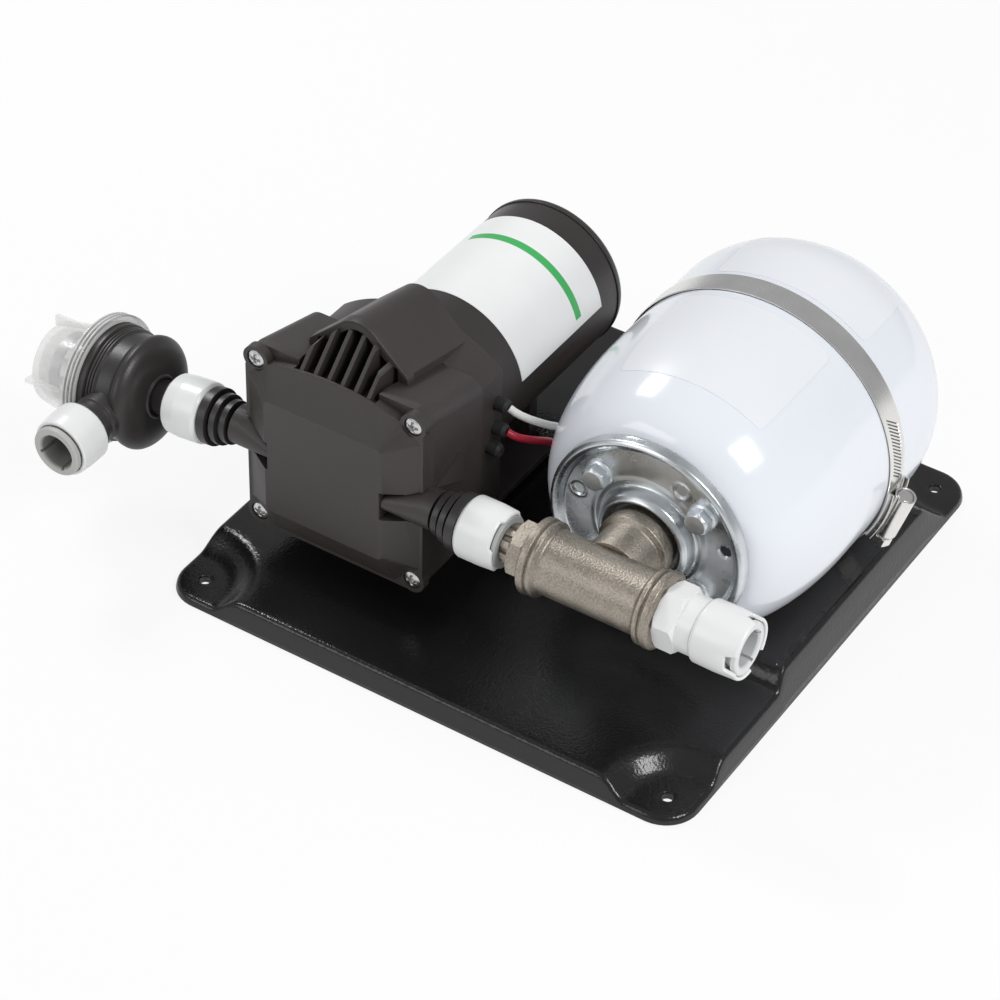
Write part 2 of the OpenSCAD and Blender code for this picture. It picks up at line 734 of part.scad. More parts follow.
module armature_winding() color("#a8612f") at_pump()
  for (y = [armature_y - winding_t, armature_y + armature_len])
    along_y(y) ring(armature_r - 7, shaft_r + glue_t, winding_t);
commutator_y = armature_y + armature_len + winding_t + 1;
module commutator() color("#b87b45") at_pump() along_y(commutator_y)
  ring(commutator_r, shaft_r + glue_t, commutator_len);

// Port plug along +Z: ball nose in the barrel, three ribs, and a sleeve in the push-fit nut
module port_plug() difference() {
  union() {
    sphere(plug_r);
    rotate_extrude() polygon([[0, 0], [plug_r - o_ring_t, 0], [plug_r - o_ring_t, plug_from],
      [rib_r, plug_from], [rib_r, plug_from + rib_t], [plug_neck_r, plug_from + rib_t],
      [plug_neck_r, plug_from + rib_pitch],
      [rib_r + rib_step, plug_from + rib_pitch], [rib_r + rib_step, plug_from + rib_pitch + rib_t],
      [plug_neck_r, plug_from + rib_pitch + rib_t], [plug_neck_r, plug_from + 2 * rib_pitch],
      [rib_r + 2 * rib_step, plug_from + 2 * rib_pitch], [rib_r + 2 * rib_step, inlet_nut_from],
      [collet_r, inlet_nut_from], [collet_r, inlet_nut_from + sleeve_len], [0, inlet_nut_from + sleeve_len]]);
  }
  ring(plug_r + over, plug_r - o_ring_t, o_ring_w);
  translate([0, 0, -2 * plug_r]) cylinder(r = gallery_r, h = 2 * plug_r + inlet_nut_from + sleeve_len + over);
}
outlet_nose_x = head_x1 + barrel_len - nose_depth;
module inlet_plug() color("#26262a") at_inlet() along_x(0) port_plug();
module outlet_plug() color("#26262a") at_port() along_x(outlet_nose_x) port_plug();
module port_o_rings() color("#101011") {
  at_inlet() along_x(0) ring(plug_r - 0.2, plug_r - o_ring_t, o_ring_w);
  at_port() along_x(outlet_nose_x) ring(plug_r - 0.2, plug_r - o_ring_t, o_ring_w);
}

// A push-fit nut along +Z: tapered shell with a rounded rim, open for what goes in
module fitting_nut(len, r_in) rotate_extrude() polygon(concat(
  [[r_in, 0], [nut_r - 1.6, 0]], arc(nut_r - 1.6, 1.6, 1.6, 1.6, -90, 0, 5),
  [[nut_r, len - 6], [nut_r - 0.7, len - 0.8], [nut_r - 1.5, len], [r_in, len]]));

module inlet_nut() color("#f4f4f2") at_inlet() along_x(inlet_nut_from + gap)
  fitting_nut(inlet_nut_to - inlet_nut_from - gap, collet_r + fit);

// Strainer: capped body on the nut's axis, intake branch to the front, clear bowl outside
module strainer_body() color("#29292b") at_inlet() difference() {
  union() {
    along_x(dome_from) rotate_extrude() polygon(concat(
      [[0, 0], [8, 0], [8.3, -0.8], [9, -0.8], [9.4, 0], [strainer_r - dome_round, 0.6]],
      arc(strainer_r + 0.4 - dome_round, 0.6 + dome_round, dome_round, dome_round, -80, 0, 7),
      [[strainer_r + 0.4, 7.4], [strainer_r - 1.4, 8.8], [strainer_r - 0.8, 20], [strainer_r + 1, 20.6],
       [strainer_r + 1, dome_to - dome_from], [0, dome_to - dome_from]]));
    along_x(inlet_nut_to - 8) cylinder(r = collet_r, h = 8);
    along_x(inlet_nut_to) cylinder(r = collet_r + 1.6, h = 1.6);
    along_x(inlet_nut_to) cylinder(r = spigot_r, h = dome_from - inlet_nut_to + skin);
    translate([intake_at, 0, 0]) mirror([0, 1, 0]) {
      along_y(0) cylinder(r = intake_r, h = intake_len);
      along_y(intake_len - 2) cylinder(r = collet_r + 1.8, h = 2);
      along_y(0) cylinder(r = intake_r + 0.6, h = strainer_r + 2.5);
    }
  }
  along_x(dome_from + strainer_wall) cylinder(r = strainer_r - strainer_wall - 1.4, h = dome_to);
  along_x(inlet_nut_to - 10) cylinder(r = spigot_r - strainer_wall, h = 30);
  translate([intake_at, 0, 0]) mirror([0, 1, 0]) along_y(0) cylinder(r = 7, h = intake_len + over);
}
seal_t = 2;
mesh_r = 15;
mesh_t = 0.8;
mesh_from = dome_to - 15;
mesh_len = 36;
mesh_flange_t = 1.5;
window_pitch = 5;
window = [4, 4.6, 3.4];
module bowl_seal() color("#141415") at_inlet() along_x(dome_to)
  ring(strainer_r + 1, strainer_r - 3.9, seal_t);
module strainer_mesh() color("#b8bcc0") at_inlet() along_x(mesh_from) difference() {
  union() {
    ring(mesh_r, mesh_r - mesh_t, mesh_len);
    translate([0, 0, dome_to - 2 - mesh_from])
      ring(strainer_r - strainer_wall - 1.4 - fit, mesh_r - mesh_t, mesh_flange_t);
  }
  for (a = [0:30:330], z = [window_pitch - 0.5:window_pitch:mesh_len - 2])
    rotate(a) translate([mesh_r - mesh_t / 2, 0, z]) cube(window, center = true);
}
module strainer_bowl() color([0.88, 0.92, 0.94, 0.5]) at_inlet() difference() {
  union() {
    along_x(bowl_ring_from) rotate_extrude() polygon(concat([[0, 0]], [for (k = [0:2]) each [
      [bowl_ring_r - ring_groove, (k + 0.1) * ridge_pitch], [bowl_ring_r, (k + 0.3) * ridge_pitch],
      [bowl_ring_r, (k + 0.7) * ridge_pitch], [bowl_ring_r - ring_groove, (k + 0.9) * ridge_pitch]]],
      [[bowl_ring_r - ring_groove, bowl_ring_t], [0, bowl_ring_t]]));
    along_x(bowl_ring_from + bowl_ring_t - skin) rotate_extrude() polygon([[0, 0], [bowl_r + 1.5, 0],
      [bowl_r, 1.5], [bowl_end_r, bowl_reach - bowl_round],
      [bowl_end_r - bowl_round, bowl_reach], [0, bowl_reach]]);
    for (k = [0:wing_count - 1]) rotate([wing_turn + k * 360 / wing_count, 0, 0])
      translate([0, wing_t / 2, 0]) rotate([90, 0, 0]) linear_extrude(wing_t)
        polygon([[bowl_to - over, bowl_end_r - 2 * bowl_round], [bowl_to - over, bowl_end_r + wing_h],
          [bowl_to - 2 * wing_h, bowl_end_r + wing_h], [bowl_ring_from + bowl_ring_t, bowl_r],
          [bowl_ring_from + bowl_ring_t, bowl_end_r - 2 * bowl_round]]);
  }
  along_x(bowl_ring_from - over)
    cylinder(r = strainer_r + 1 + fit, h = dome_to + seal_t + gap + over - bowl_ring_from);
  along_x(dome_to)
    cylinder(r1 = bowl_r - bowl_wall, r2 = bowl_end_r - bowl_wall, h = bowl_to - dome_to - bowl_wall);
}
intake_nut_from = intake_len;
module strainer_inlet_nut() color("#f4f4f2") at_inlet() translate([intake_at, -intake_nut_from, 0])
  mirror([0, 1, 0]) along_y(0) difference() {
    fitting_nut(intake_nut_len, collet_r + fit);
    translate([0, 0, intake_nut_len - collet_lip_t + 0.6]) cylinder(r = collet_lip_r + gap, h = 4);
  }

// Collet along +Z, with its lip's back face at z = 0: lip outside, split sleeve inside
module collet() difference() {
  union() {
    cylinder(r = collet_lip_r, h = collet_lip_t);
    translate([0, 0, -collet_len]) cylinder(r = collet_r, h = collet_len + skin);
  }
  translate([0, 0, -collet_len - over]) cylinder(r = bore_r, h = collet_len + 10);
  for (a = [45, 135]) rotate(a) translate([0, 0, -collet_len + 3]) cube([4 * collet_r, 1, 8], center = true);
}
module inlet_collet() color("#b9bcbe") at_inlet()
  translate([intake_at, -intake_nut_from - intake_nut_len - collet_travel + 1.4, 0])
    mirror([0, 1, 0]) along_y(0) collet();

// Outlet line
module outlet_nut() color("#f4f4f2") at_port() along_x(outlet_nut_x0)
  fitting_nut(outlet_nut_x1 - outlet_nut_x0, collet_r + fit);
module outlet_collar() color("#d9dbdc") at_port() along_x(outlet_nut_x1) ring(collet_lip_r, bore_r, 2);
module hexagon(r, h) cylinder(r = r, h = h, $fn = 6);
module stem_adaptor() color("#a79f93") at_port() difference() {
  union() {
    along_x(outlet_nut_x0 + 7) cylinder(d = tube_d, h = stem_hex_x - outlet_nut_x0 - 7);
    intersection() {
      along_x(stem_hex_x) rotate(15) hexagon(hex_r, hex_len);
      along_x(stem_hex_x) rotate_extrude() polygon([[0, 0], [hex_r - 1.6, 0], [hex_r + 0.4, 1.4],
        [hex_r + 0.4, hex_len - 1.4], [hex_r - 1.6, hex_len], [0, hex_len]]);
    }
    along_x(tee_x0) cylinder(r = tee_bore_r - fit, h = 12);
  }
  along_x(outlet_nut_x0) cylinder(r = tube_d / 2 - 1.8, h = tee_x0);
}
module tee() color("#9d968c") at_port() {
  branch = branch_end - port_y;
  difference() {
    union() {
      along_x(tee_x0) rotate_extrude() polygon([[0, 0], [bead_d / 2 - 1, 0], [bead_d / 2, 1.2],
        [bead_d / 2, bead_len - 3], [tee_d / 2, bead_len], [tee_d / 2, tee_len - bead_len],
        [bead_d / 2, tee_len - bead_len + 3], [bead_d / 2, tee_len - 1.2], [bead_d / 2 - 1, tee_len],
        [0, tee_len]]);
      translate([tank_x, 0, 0]) along_y(0) rotate_extrude() polygon([[0, 0], [tee_d / 2, 0],
        [tee_d / 2, branch - bead_len], [bead_d / 2, branch - bead_len + 3], [bead_d / 2, branch - 1.2],
        [bead_d / 2 - 1, branch], [0, branch]]);
    }
    along_x(tee_x0 - over) cylinder(r = tee_bore_r, h = tee_len + 2 * over);
    translate([tank_x, 0, 0]) along_y(0) cylinder(r = tee_bore_r, h = branch + over);
  }
}
module tube_adaptor() color("#f1f1ef") at_port() difference() {
  union() {
    along_x(tee_x1 - 12) cylinder(r = tee_bore_r - fit, h = 12 + skin);
    intersection() {
      along_x(tee_x1) rotate(15) hexagon(hex_r + 1, adaptor_hex_len);
      along_x(tee_x1) rotate_extrude() polygon([[0, 0], [hex_r - 0.4, 0], [hex_r + 1.4, 1.6],
        [hex_r + 1.4, adaptor_hex_len - 1.8], [hex_r - 1, adaptor_hex_len], [0, adaptor_hex_len]]);
    }
    along_x(tee_x1 + adaptor_hex_len - skin) cylinder(r = nut_r - 1.4, h = adaptor_neck + skin);
  }
  along_x(tee_x1 - 12 - over) cylinder(r = bore_r - 1, h = 40);
}
module tube_nut() color("#f6f6f4") at_port() along_x(tube_nut_x0) difference() {
  fitting_nut(tube_nut_len, collet_r + fit);
  translate([0, 0, tube_nut_len + collet_proud - collet_lip_t - collet_travel - gap])
    cylinder(r = collet_lip_r + gap, h = 9);
  for (a = [30:120:270]) rotate(a) translate([nut_r, 0, tube_nut_len]) rotate([0, 90, 0])
    cylinder(r = 5, h = 8, center = true);
}
module outlet_collet() color("#d4d6d7") at_port()
  along_x(tube_nut_x0 + tube_nut_len + collet_proud - collet_lip_t) collet();

// Accumulator
function tank_profile(g) = concat([[0, tank_front - g], [seat_r + g, tank_front - g]],
  arc(seat_r + g, shoulder_y, tank_r - seat_r, tank_front - g - shoulder_y, 90, 0, dome_steps),
  arc(0, dome_y, tank_r + g, tank_back + g - dome_y, 0, 90, dome_steps));
module tank_shell() color("#f3f5f8") at_tank() difference() {
  inner_front = tank_front + front_wall;
  inner_r = tank_r - tank_wall;
  along_y(0) rotate_extrude() polygon(tank_profile(0));
  along_y(0) rotate_extrude() polygon(concat([[0, inner_front], [seat_r - 2, inner_front]],
    arc(seat_r - 2, shoulder_y, inner_r - seat_r + 2, inner_front - shoulder_y, 90, 0, dome_steps),
    arc(0, dome_y, inner_r, tank_back - tank_wall - dome_y, 0, 90, dome_steps)));
  along_y(tank_front - over) cylinder(r = mouth_r, h = front_wall + 2 * over);
  for (a = bolt_angles) rotate([0, -a, 0]) translate([bolt_circle_d / 2, 0, 0])
    along_y(tank_front - over) cylinder(r = bolt_r + fit, h = front_wall + 2 * over);
  along_y(tank_back - 12) cylinder(r = 4 + fit, h = 14);
}
module bladder() color("#1a1a1b") at_tank() difference() {
  neck_end = tank_front + front_wall + bladder_neck;
  neck_out = mouth_r - bladder_fit;
  along_y(0) rotate_extrude() polygon(concat([[0, tank_front], [neck_out, tank_front], [neck_out, neck_end]],
    arc(0, bladder_mid, bladder_r, bladder_half, -40, 90, dome_steps)));
  along_y(0) rotate_extrude() polygon(concat([[0, tank_front - over],
    [neck_out - bladder_t, tank_front - over], [neck_out - bladder_t, neck_end]],
    arc(0, bladder_mid, bladder_r - bladder_t, bladder_half - bladder_t, -38, 90, dome_steps)));
}
module air_valve() color("#222224") at_tank() {
  along_y(tank_back - 8) cylinder(r = 4, h = 8);
  along_y(tank_back) rotate_extrude() polygon([[0, 0], [6, 0], [6, 6.4], [5, 7.4], [0, 7.4]]);
}
module tank_flange() color("#b6babd") at_tank() difference() {
  along_y(tank_front) mirror([0, 0, 1]) rotate_extrude() polygon(concat(
    [[tee_bore_r, 0], [flange_r, 0]], arc(flange_r - 2, flange_t, 2, 2.6, 0, 180, 8),
    [[flange_r - 5.4, flange_t - 0.9], [boss_r + 1.6, flange_t - 0.9]],
    arc(boss_r - 2, flange_t + boss_h - 3.5, 3.5, 3.5, 0, 90, 6),
    [[tee_bore_r, flange_t + boss_h]]));
  for (a = bolt_angles) rotate([0, -a, 0]) translate([bolt_circle_d / 2, 0, 0])
    along_y(tank_front - 12) cylinder(r = bolt_r + fit, h = 14);
  rotate([0, -15, 0]) translate([33, 0, 0]) along_y(tank_front - 12) cylinder(r = 2.6, h = 14);
}
module flange_bolts() color("#c6c9cb") at_tank() for (a = bolt_angles)
  rotate([0, -a, 0]) translate([bolt_circle_d / 2, tank_front - flange_t + 0.9, 0]) {
    along_y(-skin) cylinder(r = bolt_r, h = bolt_len + skin);
    along_y(-1.4) cylinder(r = bolt_head_r + 0.2, h = 1.4);
    along_y(-1.4 - bolt_head_t) intersection() {
      hexagon(bolt_head_r, bolt_head_t + skin);
      rotate_extrude() polygon([[0, 0], [bolt_head_r - 1.6, 0], [bolt_head_r + 0.4, 1.2],
        [bolt_head_r + 0.4, 8], [0, 8]]);
    }
  }

// Worm-drive clamp: the band goes round the tank and, through two slots, under the nest
module band_path(grow, cut) {
  circle(band_r + grow, $fn = 128);
  intersection() {
    circle(band_under_r + grow, $fn = 128);
    translate([-2 * tank_r, band_step_z + cut - 2 * tank_r]) square([4 * tank_r, 2 * tank_r]);
  }
}
module clamp_band() color("#c3c5c6") at_tank() difference() {
  y_slab(band_y - band_w / 2, band_y + band_w / 2) difference() {
    band_path(band_t, band_t);
    band_path(0, 0);
  }
  for (i = [0:9]) rotate([0, -(3 + i * band_slot_pitch), 0]) translate([band_r, band_y, 0])
    rotate([22, 0, 0]) cube([4, band_w - 4, band_slot_t], center = true);
}
module at_clamp() at_tank() rotate([0, -clamp_angle, 0]) translate([band_r + band_t, band_y, 0]) children();
module clamp_housing() color("#cdcfd0") at_clamp() difference() {
  union() {
    translate([0.1, -band_w / 2 - 1, -clamp_len / 2]) cube([3.2, band_w + 2, clamp_len]);
    translate([clamp_lift, 0, -clamp_len / 2 + 2]) cylinder(r = clamp_tube_r, h = clamp_len - 4);
  }
  translate([clamp_lift, 0, -clamp_len]) cylinder(r = clamp_screw_r + fit, h = 2 * clamp_len);
  translate([-band_r - band_t, 0, 0]) along_y(-band_w)
    cylinder(r = band_r + band_t + 0.1, h = 2 * band_w, $fn = 128);
}
module clamp_screw() color("#b8babb") at_clamp() translate([clamp_lift, 0, 0]) {
  translate([0, 0, -clamp_len / 2 + 1]) cylinder(r = clamp_screw_r, h = clamp_len - 2);
  translate([0, 0, -clamp_len / 2 - clamp_hex_t]) difference() {
    union() {
      hexagon(clamp_hex_r, clamp_hex_t);
      translate([0, 0, clamp_hex_t - skin]) cylinder(r = clamp_screw_r - 0.6, h = 1.2);
    }
    translate([0, 0, -skin]) cube([1.2, 12, 2.4], center = true);
  }
}

// Leads
module wire_glands() color("#3a3a3c") for (p = gland_places) translate([gland_x, p[0], p[1]])
  rotate([0, 90, 0]) rotate_extrude() polygon([[0, 0], [gland_r, 0], [gland_r, gland_len - 1.4],
    [gland_r - 0.8, gland_len], [0, gland_len]]);

function unit(v) = v / norm(v);
function heading(path, i) = unit(path[min(i + 1, len(path) - 1)] - path[max(i - 1, 0)]);
function side_of(d) = unit(cross([0.3, 0.2, 1], d));
function lead_ring(path, i, r, sides) =
  let(d = i == 0 ? [1, 0, 0] : heading(path, i), u = side_of(d), v = cross(d, u))
  [for (k = [0:sides - 1]) path[i] + r * (cos(360 * k / sides) * u + sin(360 * k / sides) * v)];

module lead(path) {
  sides = 8;
  count = len(path);
  points = [for (i = [0:count - 1]) each lead_ring(path, i, lead_d / 2, sides)];
  walls = [for (i = [0:count - 2], k = [0:sides - 1]) let(n = (k + 1) % sides)
    each [[i * sides + k, i * sides + n, (i + 1) * sides + n],
      [i * sides + k, (i + 1) * sides + n, (i + 1) * sides + k]]];
  ends = [[for (k = [0:sides - 1]) sides - 1 - k], [for (k = [0:sides - 1]) (count - 1) * sides + k]];
  polyhedron(points, concat(walls, ends));
}
module wire_white() color("#efefec") lead(white_route);
module wire_red() color("#c8283c") lead(red_route);

base_tray();
foot_bracket();
foot_grommets();
foot_screws();
front_cover();
cover_screws();
head_housing();
switch_cover();
rear_housing();
valve_plate();
diaphragm();
piston_plate();
eccentric();
drive_bearing();
switch_body();
switch_plunger();
motor_can();
motor_end_cap();
motor_label();
magnets();
brushes();
end_bearing();
motor_shaft();
armature_core();
armature_winding();
commutator();
inlet_plug();
outlet_plug();
port_o_rings();
inlet_nut();
strainer_body();
strainer_mesh();
bowl_seal();
strainer_bowl();
strainer_inlet_nut();
inlet_collet();
outlet_nut();
outlet_collar();
stem_adaptor();
tee();
tube_adaptor();
tube_nut();
outlet_collet();
tank_shell();
bladder();
air_valve();
tank_flange();
flange_bolts();
clamp_band();
clamp_housing();
clamp_screw();
wire_glands();
wire_white();
wire_red();
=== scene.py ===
# %% [markdown]
# A pump kit for a caravan's fresh water: a black diaphragm pump with its motor, a strainer on its
# inlet, a metal tee on its outlet and a white accumulator tank, all on one moulded tray. The solid
# model is already packed, so every piece here is made in its frame, in metres. Reading the
# frame first means that a piece goes where the solids are, with nothing to fit by eye.

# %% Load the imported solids
import json
from math import acos, atan, atan2, ceil, copysign, cos, exp, hypot, pi, radians, sin, sqrt, tan

import bmesh
import bpy
from mathutils import Matrix, Vector


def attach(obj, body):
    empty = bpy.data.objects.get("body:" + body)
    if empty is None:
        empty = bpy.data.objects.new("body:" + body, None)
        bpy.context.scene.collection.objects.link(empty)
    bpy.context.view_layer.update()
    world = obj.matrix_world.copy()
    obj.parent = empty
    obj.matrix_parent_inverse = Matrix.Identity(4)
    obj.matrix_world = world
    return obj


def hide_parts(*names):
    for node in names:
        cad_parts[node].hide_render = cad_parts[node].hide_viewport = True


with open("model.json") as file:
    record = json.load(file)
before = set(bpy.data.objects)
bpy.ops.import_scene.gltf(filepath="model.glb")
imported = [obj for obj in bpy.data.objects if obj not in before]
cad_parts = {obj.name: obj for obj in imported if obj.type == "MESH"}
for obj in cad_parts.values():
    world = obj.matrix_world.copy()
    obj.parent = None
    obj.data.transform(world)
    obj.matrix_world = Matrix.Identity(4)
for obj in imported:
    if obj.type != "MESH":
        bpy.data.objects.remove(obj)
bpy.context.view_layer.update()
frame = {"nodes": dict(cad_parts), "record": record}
MM = 0.001


def placed(name, data):
    """An object for some data, in the scene's collection."""
    thing = bpy.data.objects.new(name, data)
    bpy.context.collection.objects.link(thing)
    return thing


# %% [markdown]
# The photograph was taken from the front right and from above, with a long lens. The rows of a
# turn matrix are the camera's own right, up and back directions.

# %% Camera
azimuth, elevation, roll = (radians(a) for a in (31.93, 40.48, 1.66))
view_offset = Vector((32.39, -16.93, -1437.18)) * MM
SENSOR_MM, FOCAL_PX, PICTURE_PX = 36, 3400.59, 1000

back = Vector((sin(azimuth) * cos(elevation), -cos(azimuth) * cos(elevation),
               sin(elevation)))
level = Vector((cos(azimuth), sin(azimuth), 0))
upright = back.cross(level)
right = level * cos(roll) + upright * sin(roll)
up = upright * cos(roll) - level * sin(roll)
eye = -(right * view_offset.x + up * view_offset.y + back * view_offset.z)

lens = bpy.data.cameras.new("photo_lens")
lens.sensor_fit = "HORIZONTAL"
lens.sensor_width = SENSOR_MM
lens.lens = SENSOR_MM * FOCAL_PX / PICTURE_PX
lens.clip_end = 20
camera = placed("photo_camera", lens)
camera.matrix_world = Matrix.Translation(eye) @ Matrix((right, up, back)).transposed().to_4x4()
bpy.context.scene.camera = camera
print("camera at", [round(v, 3) for v in eye], "lens", round(lens.lens, 1), "mm")

# %% [markdown]
# A finish is a small network of shader nodes. Adding each node and link by hand hides the idea
# behind it, so three small classes do that work. A Flow is one socket that can be added, multiplied
# or subtracted like a number, and each such sum adds its Math node. A Network makes any other node
# from its type, its settings and its sockets. A Finish is the network of one material.

# %% Shader helpers
def sign(operation, swapped=False):
    """The method for one sign of arithmetic, which adds its Math node."""
    def method(self, other):
        first, second = (other, self) if swapped else (self, other)
        return self.network.math(operation, first, second)
    return method


class Flow:
    """A shader socket that takes part in Python arithmetic, on either side of a sign."""

    def __init__(self, network, socket):
        self.network = network
        self.socket = socket

    __add__, __radd__ = sign("ADD"), sign("ADD", swapped=True)
    __sub__, __rsub__ = sign("SUBTRACT"), sign("SUBTRACT", swapped=True)
    __mul__, __rmul__ = sign("MULTIPLY"), sign("MULTIPLY", swapped=True)
    __truediv__, __rtruediv__ = sign("DIVIDE"), sign("DIVIDE", swapped=True)


class Network:
    """A node tree, with short calls for its nodes."""

    def __init__(self, tree):
        self.tree = tree

    def join(self, value, socket):
        if isinstance(value, Flow):
            self.tree.links.new(value.socket, socket)
        else:
            socket.default_value = value

    def node(self, kind, settings=None, sockets=None, out=0):
        made = self.tree.nodes.new(kind)
        for key, value in (settings or {}).items():
            setattr(made, key, value)
        for key, value in (sockets or {}).items():
            self.join(value, made.inputs[key])
        return Flow(self, made.outputs[out]) if made.outputs else None

    def math(self, operation, *values):
        return self.node("ShaderNodeMath", {"operation": operation}, dict(enumerate(values)))

    def outputs(self, flow):
        """Every output of the node that a flow comes from, by name."""
        return {socket.name: Flow(self, socket) for socket in flow.socket.node.outputs}


class Finish(Network):
    """The network of one material, which is kept in finishes under its name."""

    def __init__(self, name, colour, constants):
        self.material = bpy.data.materials.new(name)
        self.material.use_nodes = True
        super().__init__(self.material.node_tree)
        self.surface = self.tree.nodes["Principled BSDF"]
        self.material.diffuse_color = (*colour, 1)
        for key, value in {"Base Color": (*colour, 1), **constants}.items():
            self.surface.inputs[key].default_value = value
        finishes[name] = self

    def feed(self, name, value):
        self.join(value, self.surface.inputs[name])

    def place(self):
        return self.node("ShaderNodeTexCoord", out="Object")

    def axes(self):
        """The place as its X, Y and Z."""
        return list(self.outputs(self.node("ShaderNodeSeparateXYZ", sockets={0: self.place()})).values())

    def stretched(self, scale):
        return self.node("ShaderNodeMapping", sockets={"Vector": self.place(), "Scale": scale})

    def noise(self, scale, detail, vector=None):
        return self.node("ShaderNodeTexNoise",
                         sockets={"Vector": vector or self.place(), "Scale": scale, "Detail": detail})

    def between(self, value, low, high):
        return self.node("ShaderNodeMapRange", {"interpolation_type": "SMOOTHSTEP"},
                         {"Value": value, "From Min": low, "From Max": high})

    def mix(self, share, first, second):
        return self.node("ShaderNodeMix", {"data_type": "RGBA"}, {0: share, 6: first, 7: second}, out=2)

    def from_axis(self, axis):
        """Distance from a line along one axis, given as (axis number, place) for the other two."""
        axes = self.axes()
        offsets = [axes[i] - middle for i, middle in axis]
        return self.math("SQRT", sum(offset * offset for offset in offsets))

    def paint_shade(self, share, colour):
        """Paints shade: lets a darker colour cover a share of the colour that is already fed."""
        fed = Flow(self, self.surface.inputs["Base Color"].links[0].from_socket)
        self.feed("Base Color", self.mix(share, fed, colour))

    def bump(self, height, depth, strength):
        self.feed("Normal", self.node("ShaderNodeBump", sockets={
            "Height": height, "Distance": depth, "Strength": strength}))


def tint(colour, share):
    """A colour made darker or lighter, with its alpha."""
    return (*(min(c * share, 1) for c in colour), 1)


finishes = {}
print("shader helpers ready")

# %% [markdown]
# The real mouldings aren't one flat black: the mould's etched grain scatters the light, and
# handling leaves softer and duller clouds. One recipe makes them all, with the grain's size and
# depth as its values, because the tray, the pump and the fittings differ only in those.

# %% Moulded plastics
def moulded(name, colour, rough, grain, depth, clouds=0.16, coat=0):
    finish = Finish(name, colour, {"Roughness": rough, "Coat Weight": coat})
    cloud = finish.noise(38, 3)
    speck = finish.noise(grain, 1)
    finish.feed("Base Color", finish.mix(cloud, tint(colour, 1 - clouds), tint(colour, 1 + clouds)))
    finish.feed("Roughness", rough + (cloud - 0.5) * clouds + (speck - 0.5) * clouds * 0.75)
    finish.bump(speck, depth, 0.6)
    return finish


moulded("pump_plastic", (0.039, 0.032, 0.031), 0.45, 1900, 1e-4)
moulded("plug_plastic", (0.029, 0.026, 0.025), 0.38, 1500, 7e-5)
moulded("tray_plastic", (0.01, 0.0092, 0.0095), 0.21, 900, 2e-4)
moulded("rubber", (0.02, 0.02, 0.021), 0.68, 900, 1.2e-4)
moulded("nut_white", (0.8, 0.8, 0.795), 0.32, 420, 1.2e-5, 0.02, coat=0.15)
moulded("collet_grey", (0.42, 0.43, 0.42), 0.42, 600, 6e-5, 0.08)
moulded("valve_plastic", (0.72, 0.69, 0.6), 0.44, 500, 6e-5, 0.06)
moulded("plunger_plastic", (0.55, 0.07, 0.04), 0.4, 500, 5e-5, 0.06)
moulded("carbon", (0.055, 0.052, 0.048), 0.6, 1400, 1e-4)
moulded("motor_paint", (0.033, 0.028, 0.027), 0.37, 1300, 8e-5)
moulded("lead_white", (0.8, 0.8, 0.77), 0.38, 300, 3e-5, 0.04)
moulded("lead_red", (0.52, 0.012, 0.045), 0.36, 300, 3e-5, 0.06)
print("moulded finishes:", sorted(finishes))

# %% [markdown]
# The metals are told apart by how their surface was left: ground steel is even, zinc plate is bright
# and blotchy, a nickel-plated casting keeps the sand's grain, and a rolled band has long streaks.
# All of them are one recipe with a grain that can be stretched along one axis.

# %% Metals
def metal(name, colour, rough, grain, depth, stretch=(1, 1, 1), blotch=55, spread=0.18, worn=0.14,
          sand=0):
    finish = Finish(name, colour, {"Roughness": rough, "Metallic": 1})
    cloud = finish.noise(blotch, 4)
    speck = finish.noise(grain, 2, finish.stretched(stretch))
    share = cloud + (speck - 0.5) * sand
    finish.feed("Base Color", finish.mix(share, tint(colour, 1 - spread), tint(colour, 1 + spread * 0.7)))
    finish.feed("Roughness", rough + (cloud - 0.5) * worn + (speck - 0.5) * 0.14)
    finish.bump(speck, depth, 0.5)


metal("tee_metal", (0.39, 0.35, 0.3), 0.44, 1300, 4e-4, blotch=140, spread=0.26, sand=2.6)
metal("flange_zinc", (0.71, 0.74, 0.76), 0.3, 420, 4e-5, blotch=60, spread=0.36, worn=0.3)
metal("bolt_zinc", (0.82, 0.86, 0.89), 0.42, 600, 3e-5, spread=0.14)
for name in ("clamp_steel", "band_steel"):
    metal(name, (0.82, 0.81, 0.79), 0.24, 500, 3e-5, (1, 12, 1))
metal("screw_steel", (0.66, 0.66, 0.66), 0.26, 900, 3e-5)
metal("bearing_steel", (0.6, 0.61, 0.62), 0.22, 800, 3e-5, (1, 10, 1))
metal("drive_metal", (0.58, 0.59, 0.6), 0.34, 700, 4e-5)
metal("mesh_steel", (0.55, 0.56, 0.57), 0.34, 900, 4e-5)
metal("core_steel", (0.36, 0.36, 0.37), 0.42, 1600, 1.2e-4, (1, 14, 1))
metal("magnet", (0.09, 0.09, 0.1), 0.55, 900, 1e-4)
metal("bronze", (0.52, 0.38, 0.2), 0.4, 900, 8e-5)
metal("copper", (0.66, 0.34, 0.17), 0.34, 700, 1e-4, (1, 1, 10))
print("finishes so far:", len(finishes))

# %% [markdown]
# Three finishes need a recipe of their own. The tank is a cool white powder coat with the faint
# orange peel of baked paint. The motor's label is a white film that carries a plain green stripe,
# drawn from the place along the motor and the angle round it. The bowl is a thin clear moulding: as
# glass with real bending of light it would go black wherever it shows the strainer, so it is thinned
# by its alpha instead, a little unevenly, and less at its thick ring. The grooves of the ring's
# thread are painted dark, as painted shade.

# %% Tank paint, label film and clear bowl
AXIS_Z, PUMP_X, TANK_X, PORT_X, PORT_Y = 69.5, -62.5, 61, -106.25, -85
DROOP = radians(6)


